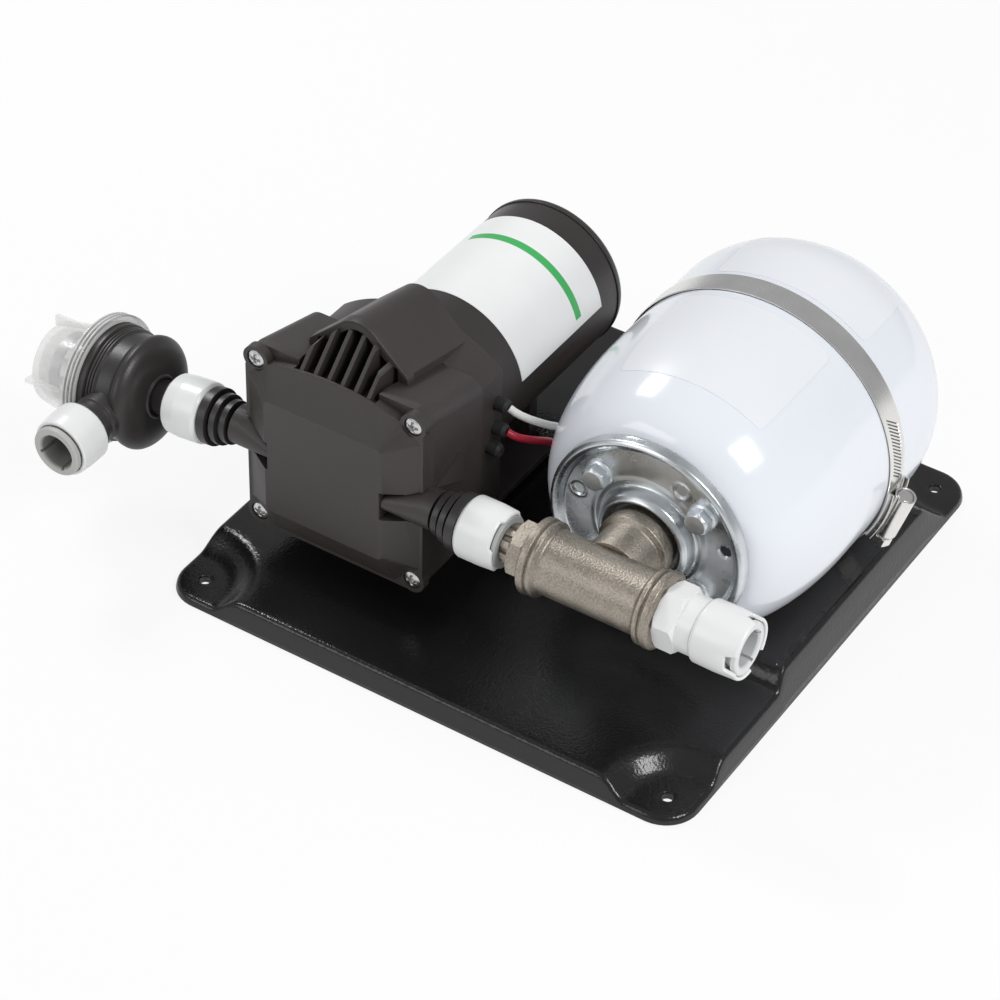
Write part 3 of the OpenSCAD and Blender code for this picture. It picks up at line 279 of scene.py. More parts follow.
def tank_coat():
    colour = (0.765, 0.79, 0.84)
    finish = Finish("tank_paint", colour, {"Roughness": 0.16, "Coat Weight": 0.35, "Coat Roughness": 0.05})
    peel = finish.noise(260, 2)
    cloud = finish.noise(9, 2)
    finish.feed("Base Color", finish.mix(cloud, tint(colour, 0.975), tint(colour, 1.02)))
    finish.feed("Roughness", 0.15 + (cloud - 0.5) * 0.06)
    finish.bump(peel, 5e-5, 0.5)


def label_film():
    colour, green = (0.86, 0.865, 0.86), (0.055, 0.43, 0.115, 1)
    finish = Finish("label_film", colour, {"Roughness": 0.36})
    x, y, z = finish.axes()
    round_motor = finish.math("ARCTAN2", z - AXIS_Z * MM, x - PUMP_X * MM)
    along = finish.between(y, 0.0397, 0.04) * (1 - finish.between(y, 0.0437, 0.044))
    around = finish.between(round_motor, 0.27, 0.28) * (1 - finish.between(round_motor, 2.2, 2.21))
    cloud = finish.noise(60, 2)
    paper = finish.mix(cloud, tint(colour, 0.97), tint(colour, 1.02))
    finish.feed("Base Color", finish.mix(along * around, paper, green))
    finish.feed("Roughness", 0.34 + (cloud - 0.5) * 0.1)


def clear_plastic():
    colour, shade = (0.9, 0.89, 0.875), (0.3, 0.29, 0.29, 1)
    finish = Finish("clear_bowl", colour, {"Roughness": 0.1, "IOR": 1.49, "Alpha": 0.34})
    x, _, z = finish.axes()
    along = (PORT_X * MM - x) * cos(DROOP) + (AXIS_Z * MM - z) * sin(DROOP)
    ring = 1 - finish.between(along, 0.0758, 0.0768)
    turns = finish.math("FRACT", (0.0763 - along) / 0.00187)
    # Painted shade: the ring's thread grooves are coloured dark, for the dark lines that a clear ring shows.
    groove = ring * (1 - finish.between(turns, 0.16, 0.3) * (1 - finish.between(turns, 0.8, 0.92)))
    smear = finish.noise(45, 3)
    finish.feed("Base Color", finish.mix(groove, tint(colour, 1), shade))
    finish.feed("Roughness", 0.05 + smear * 0.08)
    finish.feed("Alpha", 0.3 + smear * 0.14 + ring * 0.18)


tank_coat()
label_film()
clear_plastic()
for part in frame["record"]["subparts"]:
    solid = frame["nodes"][part["node"]]
    solid.data.materials.clear()
    solid.data.materials.append(finishes[part["material_slot"]].material)
print("every solid has one of", len(finishes), "finishes")

# %% [markdown]
# The pieces share a few shapes. A real fitting has no perfectly sharp edge: its rim was turned or
# moulded with a small radius, and that radius catches the light. So profiles get their corners
# rounded before they are turned about an axis, and a moulding that the solids already describe is
# copied and has its edges bevelled. Whatever is turned or swept is rows of corners under one skin.

# %% Shape helpers
UP = Vector((0, 0, 1))
MERGE = 1e-4


def joined(name, bm, finish, body, node=None, crease=38):
    """A bmesh in millimetres becomes a piece that rides on a body."""
    bmesh.ops.recalc_face_normals(bm, faces=bm.faces)
    bmesh.ops.scale(bm, vec=(MM, MM, MM), verts=bm.verts)
    mesh = bpy.data.meshes.new(name)
    bm.to_mesh(mesh)
    bm.free()
    mesh.polygons.foreach_set("use_smooth", [True] * len(mesh.polygons))
    mesh.set_sharp_from_angle(angle=radians(crease))
    mesh.materials.append(finishes[finish].material)
    piece = placed(name, mesh)
    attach(piece, body)
    if node:
        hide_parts(node)
    return piece


def ramp(value, width):
    """Zero below zero, one above the width and straight in between."""
    return min(max(value / width, 0), 1)


def polar(radius, angle, along=0):
    """A place given by its distance from Z, its turn about Z and its place along Z."""
    return Vector((radius * cos(angle), radius * sin(angle), along))


def rounded(points, radius, steps, loop=True):
    """Rounds the corners of a flat outline; a third value at a point is its own radius."""
    out = []
    count = len(points)
    for i, point in enumerate(points):
        here = Vector(point[:2])
        want = point[2] if len(point) > 2 else radius
        a, b = (Vector(points[k % count][:2]) - here for k in (i - 1, i + 1))
        half = acos(max(-1, min(1, a.normalized().dot(b.normalized())))) / 2
        at_end = not loop and i in (0, count - 1)
        if at_end or want <= 0 or not radians(2) <= half <= radians(88):
            out.append(here)
            continue
        cut = min(want / tan(half), 0.45 * a.length, 0.45 * b.length)
        start, end = here + a.normalized() * cut, here + b.normalized() * cut
        for t in (k / steps for k in range(steps + 1)):
            out.append(start * (1 - t) ** 2 + here * (2 * t * (1 - t)) + end * t ** 2)
    return out


def axis_frame(spot, ahead, over=UP):
    """Local Z runs along ahead, and local Y as near to over as it can."""
    z = Vector(ahead).normalized()
    x = Vector(over).cross(z).normalized()
    return Matrix.Translation(Vector(spot)) @ Matrix((x, z.cross(x), z)).transposed().to_4x4()


def further(place, along):
    """The same frame, moved along its own Z."""
    return place @ Matrix.Translation(UP * along)


def skin(bm, rows, closed=True, ring=True, caps=False):
    """Faces between rows of corners. Closed joins the last row to the first; ring closes each row."""
    count = len(rows[0])
    for one, two in zip(rows, rows[1:] + rows[:1] if closed else rows[1:]):
        for i in range(count if ring else count - 1):
            j = (i + 1) % count
            bm.faces.new((one[i], one[j], two[j], two[i]))
    if caps:
        bm.faces.new(rows[0])
        bm.faces.new(rows[-1][::-1])


def turn(bm, outline, place, radius=0, steps=4, around=96, loop=True, warp=None):
    """Rounds an outline of (distance, along) points and turns it about the place's own Z."""
    outline = rounded(outline, radius, steps, loop)
    rows = []
    for angle in (2 * pi * k / around for k in range(around)):
        bent = [warp(r, z, angle) for r, z in outline] if warp else outline
        rows.append([bm.verts.new(place @ polar(r, angle, z)) for r, z in bent])
    skin(bm, rows, ring=loop)
    bmesh.ops.remove_doubles(bm, verts=bm.verts, dist=MERGE)


def hexagon_cut(apothem, phase=0):
    """Cuts a round down to six flats, as a hexagon bar that was turned at its ends."""
    def warp(r, z, a):
        return min(r, apothem / cos((a + phase) % radians(60) - radians(30))), z
    return warp


def softened(name, node, body, finish, width, steps=2, angle=26):
    """A copy of a solid with its edges bevelled, which then stands for the solid."""
    solid = frame["nodes"][node]
    bm = bmesh.new()
    bm.from_mesh(solid.data)
    bm.transform(solid.matrix_world)
    bmesh.ops.remove_doubles(bm, verts=bm.verts, dist=2e-6)
    bmesh.ops.dissolve_limit(bm, angle_limit=radians(0.6), verts=bm.verts, edges=bm.edges)
    bmesh.ops.scale(bm, vec=(1 / MM, 1 / MM, 1 / MM), verts=bm.verts)
    edge = joined(name, bm, finish, body, node, crease=angle).modifiers.new("moulded_edges", "BEVEL")
    edge.width = width * MM
    edge.segments = steps
    edge.limit_method = "ANGLE"
    edge.angle_limit = radians(angle)
    edge.use_clamp_overlap = True
    edge.harden_normals = True


def low_of(a, b, soft):
    """The lower of two heights, with a rounded corner where they cross."""
    h = max(soft - abs(a - b), 0) / soft
    return min(a, b) - h * h * soft * 0.25


def high_of(a, b, soft):
    return -low_of(-a, -b, soft)


def edge_of(columns, rows):
    """Keys of a grid's border, in order round it."""
    way = [(i, 0) for i in range(columns)] + [(columns, j) for j in range(rows)]
    return way + [(i, rows) for i in range(columns, 0, -1)] + [(0, j) for j in range(rows, 0, -1)]


port_frame = axis_frame((0, PORT_Y, AXIS_Z), (1, 0, 0))
tank_frame = axis_frame((TANK_X, 0, AXIS_Z), (0, 1, 0))
inlet_frame = axis_frame((PORT_X, PORT_Y, AXIS_Z), (-cos(DROOP), 0, -sin(DROOP)))
intake_frame = axis_frame(inlet_frame @ Vector((0, 0, 60)), (0, -1, 0))
print("shape helpers ready")

# %% [markdown]
# Two supply leads leave the pump's rear housing through small glands. A lead is a thin round cord,
# so each is a curve with a round section, laid on the route that the solids follow: out of its
# gland, down the valley between motor and tank, and back along the deck. Its stripped end shows a
# twist of tinned strands, as new pump leads have.

# %% Supply leads
LEAD_D, STRAND_R, STRAND_REACH = 3.3, 0.34, 0.72
white_route = [(-17.5, -29, 83), (-15, -28.3, 81.4), (-12.6, -26.2, 79), (-9.3, -22.2, 75.5),
               (-6.6, -16.6, 71), (-5.2, -10, 66), (-5, -3.5, 59.5), (-5, 3, 52), (-5, 9, 44),
               (-5, 14.5, 36), (-5, 20, 28.5), (-4.6, 26.5, 21.5), (-4, 34, 16), (-3.4, 42.5, 13.2),
               (-3, 51, 12.8), (-2.6, 60, 12.8), (-2.2, 69, 12.8), (-2, 78, 12.8), (-2, 87, 12.8),
               (-2.4, 96, 12.8), (-3, 105, 12.8)]
red_route = [(-17.5, -30, 71.2), (-14.4, -28.7, 69.4), (-11.4, -24.6, 66.6), (-9.6, -19, 63),
             (-9, -12.6, 58.6), (-9, -6.6, 53.4), (-9, -0.6, 46.6), (-9, 5, 39), (-9, 10.4, 31.2),
             (-9, 16.4, 23.8), (-9, 23.4, 17.4), (-9, 31.6, 13.6), (-8.6, 40.4, 12.8), (-8, 49.4, 12.8),
             (-7.4, 58.4, 12.8), (-7, 67.4, 12.8), (-6.8, 76.4, 12.8), (-6.8, 85.4, 12.8),
             (-7.4, 94.4, 12.8), (-8.4, 103.4, 12.8)]


def round_curve(name, route, finish):
    shape = bpy.data.curves.new(name, "CURVE")
    shape.dimensions = "3D"
    shape.bevel_depth = LEAD_D / 2 * MM
    shape.bevel_resolution = 5
    shape.use_fill_caps = True
    spline = shape.splines.new("BEZIER")
    spline.bezier_points.add(len(route) - 1)
    for knot, spot in zip(spline.bezier_points, route):
        knot.co = Vector(spot) * MM
        knot.handle_left_type = knot.handle_right_type = "AUTO"
    shape.materials.append(finishes[finish].material)
    return placed(name, shape)


def stripped_end(name, route):
    """Seven fine strands with a slow twist, past the end of the insulation."""
    tip = Vector(route[-1])
    ahead = (tip - Vector(route[-2])).normalized()
    side = ahead.cross(UP).normalized()
    over = side.cross(ahead)

    def spoke(degrees):
        return side * cos(radians(degrees)) + over * sin(radians(degrees))

    bm = bmesh.new()
    for strand in range(7):
        reach = STRAND_REACH if strand < 6 else 0
        rings = []
        for step in range(9):
            middle = tip + ahead * (step * 0.8 - 0.4) + spoke(60 * strand + 22 * step) * reach
            rings.append([bm.verts.new(middle + spoke(60 * k) * STRAND_R) for k in range(6)])
        skin(bm, rings, closed=False, caps=True)
    piece = joined(name, bm, "screw_steel", "base", crease=180)
    # Only the cut ends are flat; no edge is marked sharp, so the tips catch the light.
    for face in piece.data.polygons:
        face.use_smooth = len(face.vertices) == 4
    return piece


for name, node, route, finish in (("white_lead", "wire_white", white_route, "lead_white"),
                                  ("red_lead", "wire_red", red_route, "lead_red")):
    lead = round_curve(name, route, finish)
    strands = stripped_end(name + "_strands", route)
    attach(lead, "base")
    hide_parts(node)
    length = sum((Vector(b) - Vector(a)).length for a, b in zip(route, route[1:])) * MM
    print(name, "is", round(length / MM), "mm long")

# %% [markdown]
# The tray is one thin sheet drawn over a mould, so it has no sharp corner anywhere: the deck rolls
# into the walls, the corner pads are soft dishes and the tank's platform rises in an easy slope.
# Cutting blocks from each other would leave hard edges. A sheet is a height over each spot of the
# floor, so the heights of deck, platform, nest and pads are worked out on a grid and blended
# with a soft minimum, and the wall is hung on the grid's border.

# %% Tray
DECK, PLATFORM, WALL_DRAFT, EDGE, RIM_LIFT, SHEET = 11, 19, 0.22, 2.4, 0.57, 2.6
HALF_X, HALF_Y, CORNER, GRID_STEP = 125, 126, 16, 2.3
RISE_X, RISE_Y, RISE_R, RISE_SLOPE = 8, -44, 8, 0.69
PAD_X, PAD_Y, PAD_R, PAD_TOP, PAD_SLOPE = 118, 118.5, 21, 4, 1.15
HOLE_X, HOLE_Y, HOLE_R, HOLE_CELL = 111.5, 112, 2.6, 4
SLOT_X, SLOT_Y = (35.24, 45.24), (31.75, 45.25)
TANK_R, MOUTH_R, BARREL_FRONT, BARREL_BACK, SHOULDER, DOME = 63, 42.5, 10, 66, 57.5, 48.5
TANK_FRONT, TANK_BACK = BARREL_FRONT - SHOULDER, BARREL_BACK + DOME
INSET = WALL_DRAFT * DECK + EDGE
TOP_X, TOP_Y, TOP_CORNER = HALF_X - INSET, HALF_Y - INSET, CORNER - INSET
quarters = [(sx, sy) for sx in (-1, 1) for sy in (-1, 1)]


def tank_radius(y):
    """Radius of the tank at a place along it."""
    if y < BARREL_FRONT:
        return MOUTH_R + (TANK_R - MOUTH_R) * sqrt(max(1 - ((BARREL_FRONT - y) / SHOULDER) ** 2, 0))
    return TANK_R * sqrt(max(1 - (max(y - BARREL_BACK, 0) / DOME) ** 2, 0))


def tray_height(x, y):
    """Height of the sheet's top over one spot of the floor."""
    dx, dy = x - RISE_X, y - RISE_Y
    inside = min(dx, dy)
    if dx < RISE_R and dy < RISE_R:
        inside = RISE_R - hypot(RISE_R - dx, RISE_R - dy)
    z = low_of(high_of(DECK, DECK + inside / RISE_SLOPE, 2), PLATFORM, 2.4)
    if TANK_FRONT - 0.1 < y < TANK_BACK + 0.1:
        r = tank_radius(y) + 0.1
        if abs(x - TANK_X) < r:
            z = low_of(z, AXIS_Z - sqrt(r * r - (x - TANK_X) ** 2) - 0.05, 0.6)
    for sx, sy in quarters:
        away = hypot(x - sx * PAD_X, y - sy * PAD_Y)
        z = low_of(z, high_of(PAD_TOP, PAD_TOP + (away - PAD_R) / PAD_SLOPE, 2.2), 3)
    return z


def grid_lines(half, needed):
    """Places of a grid's lines: the needed ones, and others evenly between them."""
    marks = sorted({-half, half, *needed})
    lines = []
    for a, b in zip(marks, marks[1:]):
        parts = max(1, ceil((b - a) / GRID_STEP - 1e-6))
        lines += [a + (b - a) * k / parts for k in range(parts)]
    return lines + [half]


def tray_corners(bm, xs, ys):
    """The sheet's corners, with the grid's outer rings bent round the tray's corners."""
    grid = {}
    for i, x in enumerate(xs):
        for j, y in enumerate(ys):
            share = max(abs(x) / TOP_X, abs(y) / TOP_Y)
            r = max(TOP_CORNER - (1 - share) * TOP_X, 0)
            cx, cy = share * TOP_X - r, share * TOP_Y - r
            px, py = x, y
            if r > 0 and abs(x) > cx and abs(y) > cy:
                away = Vector((abs(x) - cx, abs(y) - cy)).normalized() * r
                px, py = copysign(cx + away.x, x), copysign(cy + away.y, y)
            grid[i, j] = bm.verts.new((px, py, tray_height(px, py)))
    return grid


def left_out(x, y):
    """True in the band's slots and in the squares round the fixing holes."""
    in_slot = SLOT_X[0] < abs(x - TANK_X) < SLOT_X[1] and SLOT_Y[0] < y < SLOT_Y[1]
    return in_slot or (abs(abs(x) - HOLE_X) < HOLE_CELL and abs(abs(y) - HOLE_Y) < HOLE_CELL)


def grid_faces(bm, grid, columns, rows, skip=lambda i, j: False):
    for i in range(columns):
        for j in range(rows):
            if not skip(i, j):
                bm.faces.new((grid[i, j], grid[i + 1, j], grid[i + 1, j + 1], grid[i, j + 1]))


def fixing_hole(bm, grid, xs, ys, middle):
    """Joins the square that was left out to a round hole with a soft edge."""
    i, j = (min(range(len(v)), key=lambda k: abs(v[k] - m)) for v, m in ((xs, middle.x), (ys, middle.y)))
    rim = [grid[i + a - 2, j + b - 2] for a, b in edge_of(4, 4)]
    loops = [rim]
    for radius, drop in ((HOLE_R + 0.5, 0), (HOLE_R + 0.1, 0.15), (HOLE_R, 0.6), (HOLE_R, 3.8)):
        loops.append([bm.verts.new(middle + (v.co - middle).to_2d().normalized().to_3d() * radius - UP * drop)
                      for v in rim])
    skin(bm, loops, closed=False)


def tray_wall(bm, border):
    """Rolls the sheet's border over and hangs the drafted wall on it."""
    outs = []
    for vert in border:
        x, y, z = vert.co
        cx, cy = max(abs(x) - (TOP_X - TOP_CORNER), 0), max(abs(y) - (TOP_Y - TOP_CORNER), 0)
        if not (cx and cy):
            cx, cy = (1, 0) if cx >= cy else (0, 1)
        outs.append(Vector((copysign(cx, x), copysign(cy, y), 0)).normalized())
        vert.co += outs[-1] * WALL_DRAFT * (DECK - z)
    loops = [border]
    for k in range(1, 6):
        a = (pi / 2 - atan(WALL_DRAFT)) * k / 5
        loops.append([bm.verts.new(v.co + out * EDGE * sin(a) - UP * EDGE * (1 - cos(a)))
                      for v, out in zip(border, outs)])
    rolled = loops[-1]
    for share in (0.4, 0.8, 1):
        loops.append([bm.verts.new(v.co + (out * WALL_DRAFT - UP) * (v.co.z - RIM_LIFT) * share)
                      for v, out in zip(rolled, outs)])
    skin(bm, loops, closed=False)


def tray_sheet():
    cell = [HOLE_CELL * k / 2 for k in range(-2, 3)]
    across = [s * HOLE_X + d for s in (-1, 1) for d in cell] + [TANK_X + s * v for s in (-1, 1) for v in SLOT_X]
    deep = [s * HOLE_Y + d for s in (-1, 1) for d in cell] + list(SLOT_Y)
    xs, ys = grid_lines(TOP_X, across), grid_lines(TOP_Y, deep)
    size = len(xs) - 1, len(ys) - 1
    bm = bmesh.new()
    grid = tray_corners(bm, xs, ys)
    grid_faces(bm, grid, *size, lambda i, j: left_out((xs[i] + xs[i + 1]) / 2, (ys[j] + ys[j + 1]) / 2))
    for sx, sy in quarters:
        fixing_hole(bm, grid, xs, ys, Vector((sx * HOLE_X, sy * HOLE_Y, PAD_TOP)))
    tray_wall(bm, [grid[spot] for spot in edge_of(*size)])
    return bm


tray = joined("tray", tray_sheet(), "tray_plastic", "base", "base_tray", crease=60)
sheet = tray.modifiers.new("sheet_thickness", "SOLIDIFY")
sheet.thickness = SHEET * MM
sheet.offset = -1
print("tray:", len(tray.data.vertices), "corners")

# %% [markdown]
# The tank is spun from steel: a smooth barrel with a rounded shoulder at the flange and a domed
# back. Turning one dense outline gives an even curve, where the solids have a few cones. Two plain
# paper labels are laid on it as thin curved sheets, left blank.

# %% Tank and its blank labels
quarter_turn = [radians(90 * k / 32) for k in range(33)]
tank_outline = [(0, TANK_FRONT), (30, TANK_FRONT)]
tank_outline += [(MOUTH_R + (TANK_R - MOUTH_R) * cos(a), BARREL_FRONT - SHOULDER * sin(a))
                 for a in quarter_turn[::-1]]
tank_outline += [(TANK_R, BARREL_FRONT + 7 * k) for k in range(1, 8)]
tank_outline += [(TANK_R * cos(a), BARREL_BACK + DOME * sin(a)) for a in quarter_turn]
bm = bmesh.new()
turn(bm, tank_outline, tank_frame, around=160, loop=False)
joined("tank", bm, "tank_paint", "base", "tank_shell", crease=60)


def tank_label(name, ends, span, corner=3):
    """A thin sheet bent round the tank, with rounded corners and a real edge."""
    (y0, y1), (a0, a1) = ends, span
    rows, columns = 18, 40
    width, height = radians(a1 - a0) * TANK_R, y1 - y0
    bm = bmesh.new()
    borders = []
    for lift in (0.02, 0.16):
        net = {}
        for i in range(columns + 1):
            for j in range(rows + 1):
                u, v = i / columns * width, j / rows * height
                du, dv = min(u, width - u), min(v, height - v)
                if du < corner and dv < corner:
                    away = Vector((corner - du, corner - dv))
                    pull = max(away) / max(away.length, 1e-6)
                    du, dv = corner - away.x * pull, corner - away.y * pull
                    u = du if u < width / 2 else width - du
                    v = dv if v < height / 2 else height - dv
                a, r = radians(a0) + u / TANK_R, tank_radius(y0 + v) + lift
                net[i, j] = bm.verts.new((TANK_X + r * cos(a), y0 + v, AXIS_Z + r * sin(a)))
        grid_faces(bm, net, columns, rows)
        borders.append([net[spot] for spot in edge_of(columns, rows)])
    skin(bm, borders, closed=False)
    joined(name, bm, "label_paper", "base", crease=50)


moulded("label_paper", (0.775, 0.79, 0.82), 0.3, 300, 3e-5, 0.02)
tank_label("front_label", (-24, 28), (57, 122))
tank_label("back_label", (47.5, 82), (52, 118))
print("tank and two blank labels made")

# %% [markdown]
# The tank's mouth is closed by a pressed zinc-plated flange: a rolled rim, a flat ring for the
# bolts, a drawn collar round the tee, two stamped rounds and a drain hole. A turned section gives
# the rings, and each pressing is added to its height where it lies. The drain hole is only a shallow
# dent, painted near black as painted shade. The four bolts are turned as well, and their heads are
# then cut down to six flats.

# %% Flange and bolts
FLAT_IN, FLAT_OUT, FLAT_Z, FLANGE_IN = 26.5, 38.8, 1.68, 16.3
STAMP_R, DRAIN_R, BOLT_CIRCLE, BOLT_SEAT, BOLT_FLATS = 3.7, 2.9, 30.5, 1.6, 9.7
flange_frame = axis_frame((TANK_X, TANK_FRONT, AXIS_Z), (0, -1, 0))
stamps = [polar(r, radians(a)) for r, a in ((33.5, 166.5), (30.4, 64.1))]
drain = polar(34.8, radians(10.5))
pressing = rounded([(FLANGE_IN, 2.4, 0), (16.4, 6.4, 1.2), (18.4, 8.7, 2.2), (20.6, 6.4, 1.8), (21.3, 1.5, 1),
                    (22.6, 0.8, 0.8), (24.2, 2.3, 1.2), (FLAT_IN, 1.7, 2), (FLAT_OUT, 1.6, 1.4),
                    (40.6, 4.2, 1), (42.5, 5.1, 1.4), (44.2, 4, 1.2), (44.5, 0.4, 0.3), (44.2, 0, 0)],
                   0.5, 6, loop=False)
flange_section = [p for p in pressing if p[0] <= FLAT_IN]
flange_section += [(FLAT_IN + (FLAT_OUT - FLAT_IN) * k / 22, FLAT_Z) for k in range(1, 22)]
flange_section += [p for p in pressing if p[0] > 38.5] + [(44, 0.02), (FLANGE_IN, 0.02)]


def pressed(r, z, a):
    """Adds the stamped rounds, the drain hole and a slight waviness to the flange's height."""
    here = polar(r, a)
    for stamp in stamps:
        away = (here - stamp).length
        z += 0.42 * exp(-((away - STAMP_R) / 0.55) ** 2) - 0.45 * ramp(STAMP_R - 0.4 - away, 0.6)
    z -= 1.55 * ramp(DRAIN_R - (here - drain).length, 0.35)
    return r, z + (0.1 * sin(3 * a + r * 0.3) if 26 < r < 39 else 0)


# Painted shade: the drain hole is only a shallow dent, so the zinc inside it is coloured near black.
hole = flange_frame @ drain
flange_zinc = finishes["flange_zinc"]
from_hole = flange_zinc.from_axis(((0, hole.x * MM), (2, hole.z * MM)))
flange_zinc.paint_shade(1 - flange_zinc.between(from_hole, 0.0023, 0.0028), (0.06, 0.07, 0.08, 1))
bm = bmesh.new()
turn(bm, flange_section, flange_frame, around=288, warp=pressed)
joined("flange", bm, "flange_zinc", "base", "tank_flange", crease=50)

bm = bmesh.new()
for bolt_turn in (radians(a) for a in (40, 140, 220, 320)):
    place = axis_frame(flange_frame @ polar(BOLT_CIRCLE, bolt_turn, BOLT_SEAT), (0, -1, 0))
    shank = [(0, -8), (4, -8), (4, 0), (6.2, 0), (6.2, 0.8, 0.4), (5.2, 1.6, 0.3), (0, 1.6)]
    turn(bm, shank, place, 0.2, 3, 72, loop=False)
    head = [(0, 1.4), (5.6, 1.4), (5.6, 5.2, 0.5), (4.3, 6.3, 0.5), (0, 6.3)]
    turn(bm, head, place, 0.3, 3, loop=False, warp=hexagon_cut(BOLT_FLATS / 2, bolt_turn))
joined("bolts", bm, "bolt_zinc", "base", "flange_bolts", crease=28)
print("flange and bolts made")

# %% [markdown]
# The tee is a plated casting with a thick double bead at each end. Its run and its branch are two
# turned outlines that meet, which keeps the crisp line that the casting shows where they cross.
# The stem that screws into it has a ring of ribs and a hexagon, both cut while it is turned.

# %% Tee and stem
TEE_BORE, TEE_START, TEE_END = 10.4, 31, 91


def ridged_end(x, s):
    """Outline of one bead, from its end face inwards; s is the inward direction."""
    return [(14.6, x), (16.1, x + s * 0.9, 0.7), (16.1, x + s * 3.6, 0.6), (14.8, x + s * 4.3, 0.3),
            (14.8, x + s * 4.6, 0.3), (15.9, x + s * 5.2, 0.5), (15.8, x + s * 6.8, 0.6),
            (13.5, x + s * 8.4, 1.4)]


def ribbed(r, z, a):
    """Cuts ten grooves into the stem's ring."""
    in_groove = cos(10 * a) < -0.25 and r > 8 and 19.3 < z < 24.3
    return r - (1.3 if in_groove else 0), z


bm = bmesh.new()
run = [(TEE_BORE, TEE_START)] + ridged_end(TEE_START, 1)
run += ridged_end(TEE_END, -1)[::-1] + [(TEE_BORE, TEE_END)]
turn(bm, run, port_frame, 0.6)
branch = [(TEE_BORE, 8), (13.5, 8), (13.5, 21.8, 0.8), (15.6, 23.4, 0.7), (15.6, 28.6, 0.9),
          (14.6, 30.2, 0.5), (14.6, 33.6), (TEE_BORE, 33.6)]
turn(bm, branch, axis_frame((TANK_X, PORT_Y, AXIS_Z), (0, 1, 0)), 0.4)
joined("tee_casting", bm, "tee_metal", "base", "tee", crease=40)

bm = bmesh.new()
stem = [(5.7, 8), (7.5, 8), (7.5, 19.2), (8.6, 19.4, 0.2), (8.9, 24.2), (8.9, 31), (5.7, 31)]
turn(bm, stem, port_frame, 0.15, 3, 144, warp=ribbed)
hexagon = [(8, 24.2), (11.6, 24.2, 0.5), (12.9, 25.4, 0.6), (12.9, 29.8, 0.6), (12, 30.9, 0.4), (8, 30.9)]
turn(bm, hexagon, port_frame, 0.4, 3, 144, warp=hexagon_cut(11.2, radians(45)))
joined("stem", bm, "tee_metal", "base", "stem_adaptor", crease=30)
print("tee and stem made")

# %% [markdown]
# The white push-fit nuts are plain tapered sleeves with a generous radius at the gripping end. The
# far rim of the pump's outlet nut has three raised tabs, made by letting the rim's place along the
# axis depend on the angle while the outline is turned.

# %% White nuts
NUT_BORE, NUT_R = 9.62, 13.25
nut_start = [(NUT_BORE, 0), (11.7, 0, 0.5), (NUT_R, 1.4, 1.6)]


def tabbed(length, reach, first):
    """Pushes the rim outwards over three tabs."""
    def warp(r, z, a):
        if z < length - 1.2 or r < 11.3:
            return r, z
        turn_by = (a - radians(first)) % radians(120)
        return r, z + reach * ramp(turn_by - 0.05, 0.06) * ramp(radians(66) - turn_by, 0.06)
    return warp


def nut(name, node, body, place, length, warp=None, recess=1):
    outline = nut_start + [(NUT_R, length - 6, 2), (12.75, length - 0.6, 0.5), (12.3, length, 0.4),
                           (11.4, length, 0.1), (11.4, length - recess, 0.1), (NUT_BORE, length - recess, 0.2)]
    bm = bmesh.new()
    turn(bm, outline, place, 0.4, 4, 144, warp=warp)
    joined(name, bm, "nut_white", body, node, crease=34)


nut("pump_outlet_nut", "outlet_nut", "base", port_frame, 17, tabbed(17, 1.6, 40))
nut("pump_inlet_nut", "inlet_nut", "strainer", further(inlet_frame, 19.05), 17.45)
nut("intake_nut", "strainer_inlet_nut", "strainer", further(intake_frame, 32.5), 16, recess=1.9)
softened("outlet_adaptor", "tube_adaptor", "base", "nut_white", 0.4, 3, 20)
softened("outlet_ring", "outlet_collar", "base", "collet_grey", 0.3)
print("white nuts made")

# %% [markdown]
# The nut at the line's end has three lobes for the fingers, and a grey collet sits between them. A
# lobe is the same turned rim, drawn back in the gaps. A collet is split, so that it can grip the
# tube: its bore is let out into a groove at each split, and its plastic is painted darker in the
# bore, as painted shade where little light comes.

# %% Lobed nut and collets
LOBE_FOOT, COLLET_BORE, COLLET_LIP = 14.5, 7.55, 11.15


def near(angle, centres, half):
    """One inside a span round any of the centres, in degrees, falling softly to zero outside."""
    off = min(abs((angle - radians(c) + pi) % (2 * pi) - pi) for c in centres)
    return 1 - ramp(off - radians(half), 0.1)


def lobes(r, z, a):
    rise = max(z - LOBE_FOOT, 0)
    return r, min(z, LOBE_FOOT) + rise * (1 - 0.72 * near(a, (-60, 60, 180), 16))


def splits(r, z, a):
    return (9.3 if r < 8.4 and near(a, (20, 110, 200, 290), 1.4) > 0.5 else r), z


def bored(name, colour, shade, bore_axis):
    """Grey plastic with painted shade: darker near its bore's axis."""
    finish = moulded(name, colour, 0.42, 600, 6e-5, 0.08)
    finish.paint_shade(1 - finish.between(finish.from_axis(bore_axis), 0.0076, 0.0084), tint(colour, shade))


def collet(name, node, body, place, lip, finish):
    outline = [(COLLET_BORE, lip - 13), (9.5, lip - 13), (9.5, lip), (COLLET_LIP, lip, 0.2),
               (COLLET_LIP, lip + 2, 0.6), (10.6, lip + 2.4, 0.4), (8.4, lip + 2.4, 0.5),
               (COLLET_BORE, lip + 1.4, 0.5)]
    bm = bmesh.new()
    turn(bm, outline, place, 0.3, 3, 144, warp=splits)
    joined(name, bm, finish, body, node, crease=34)


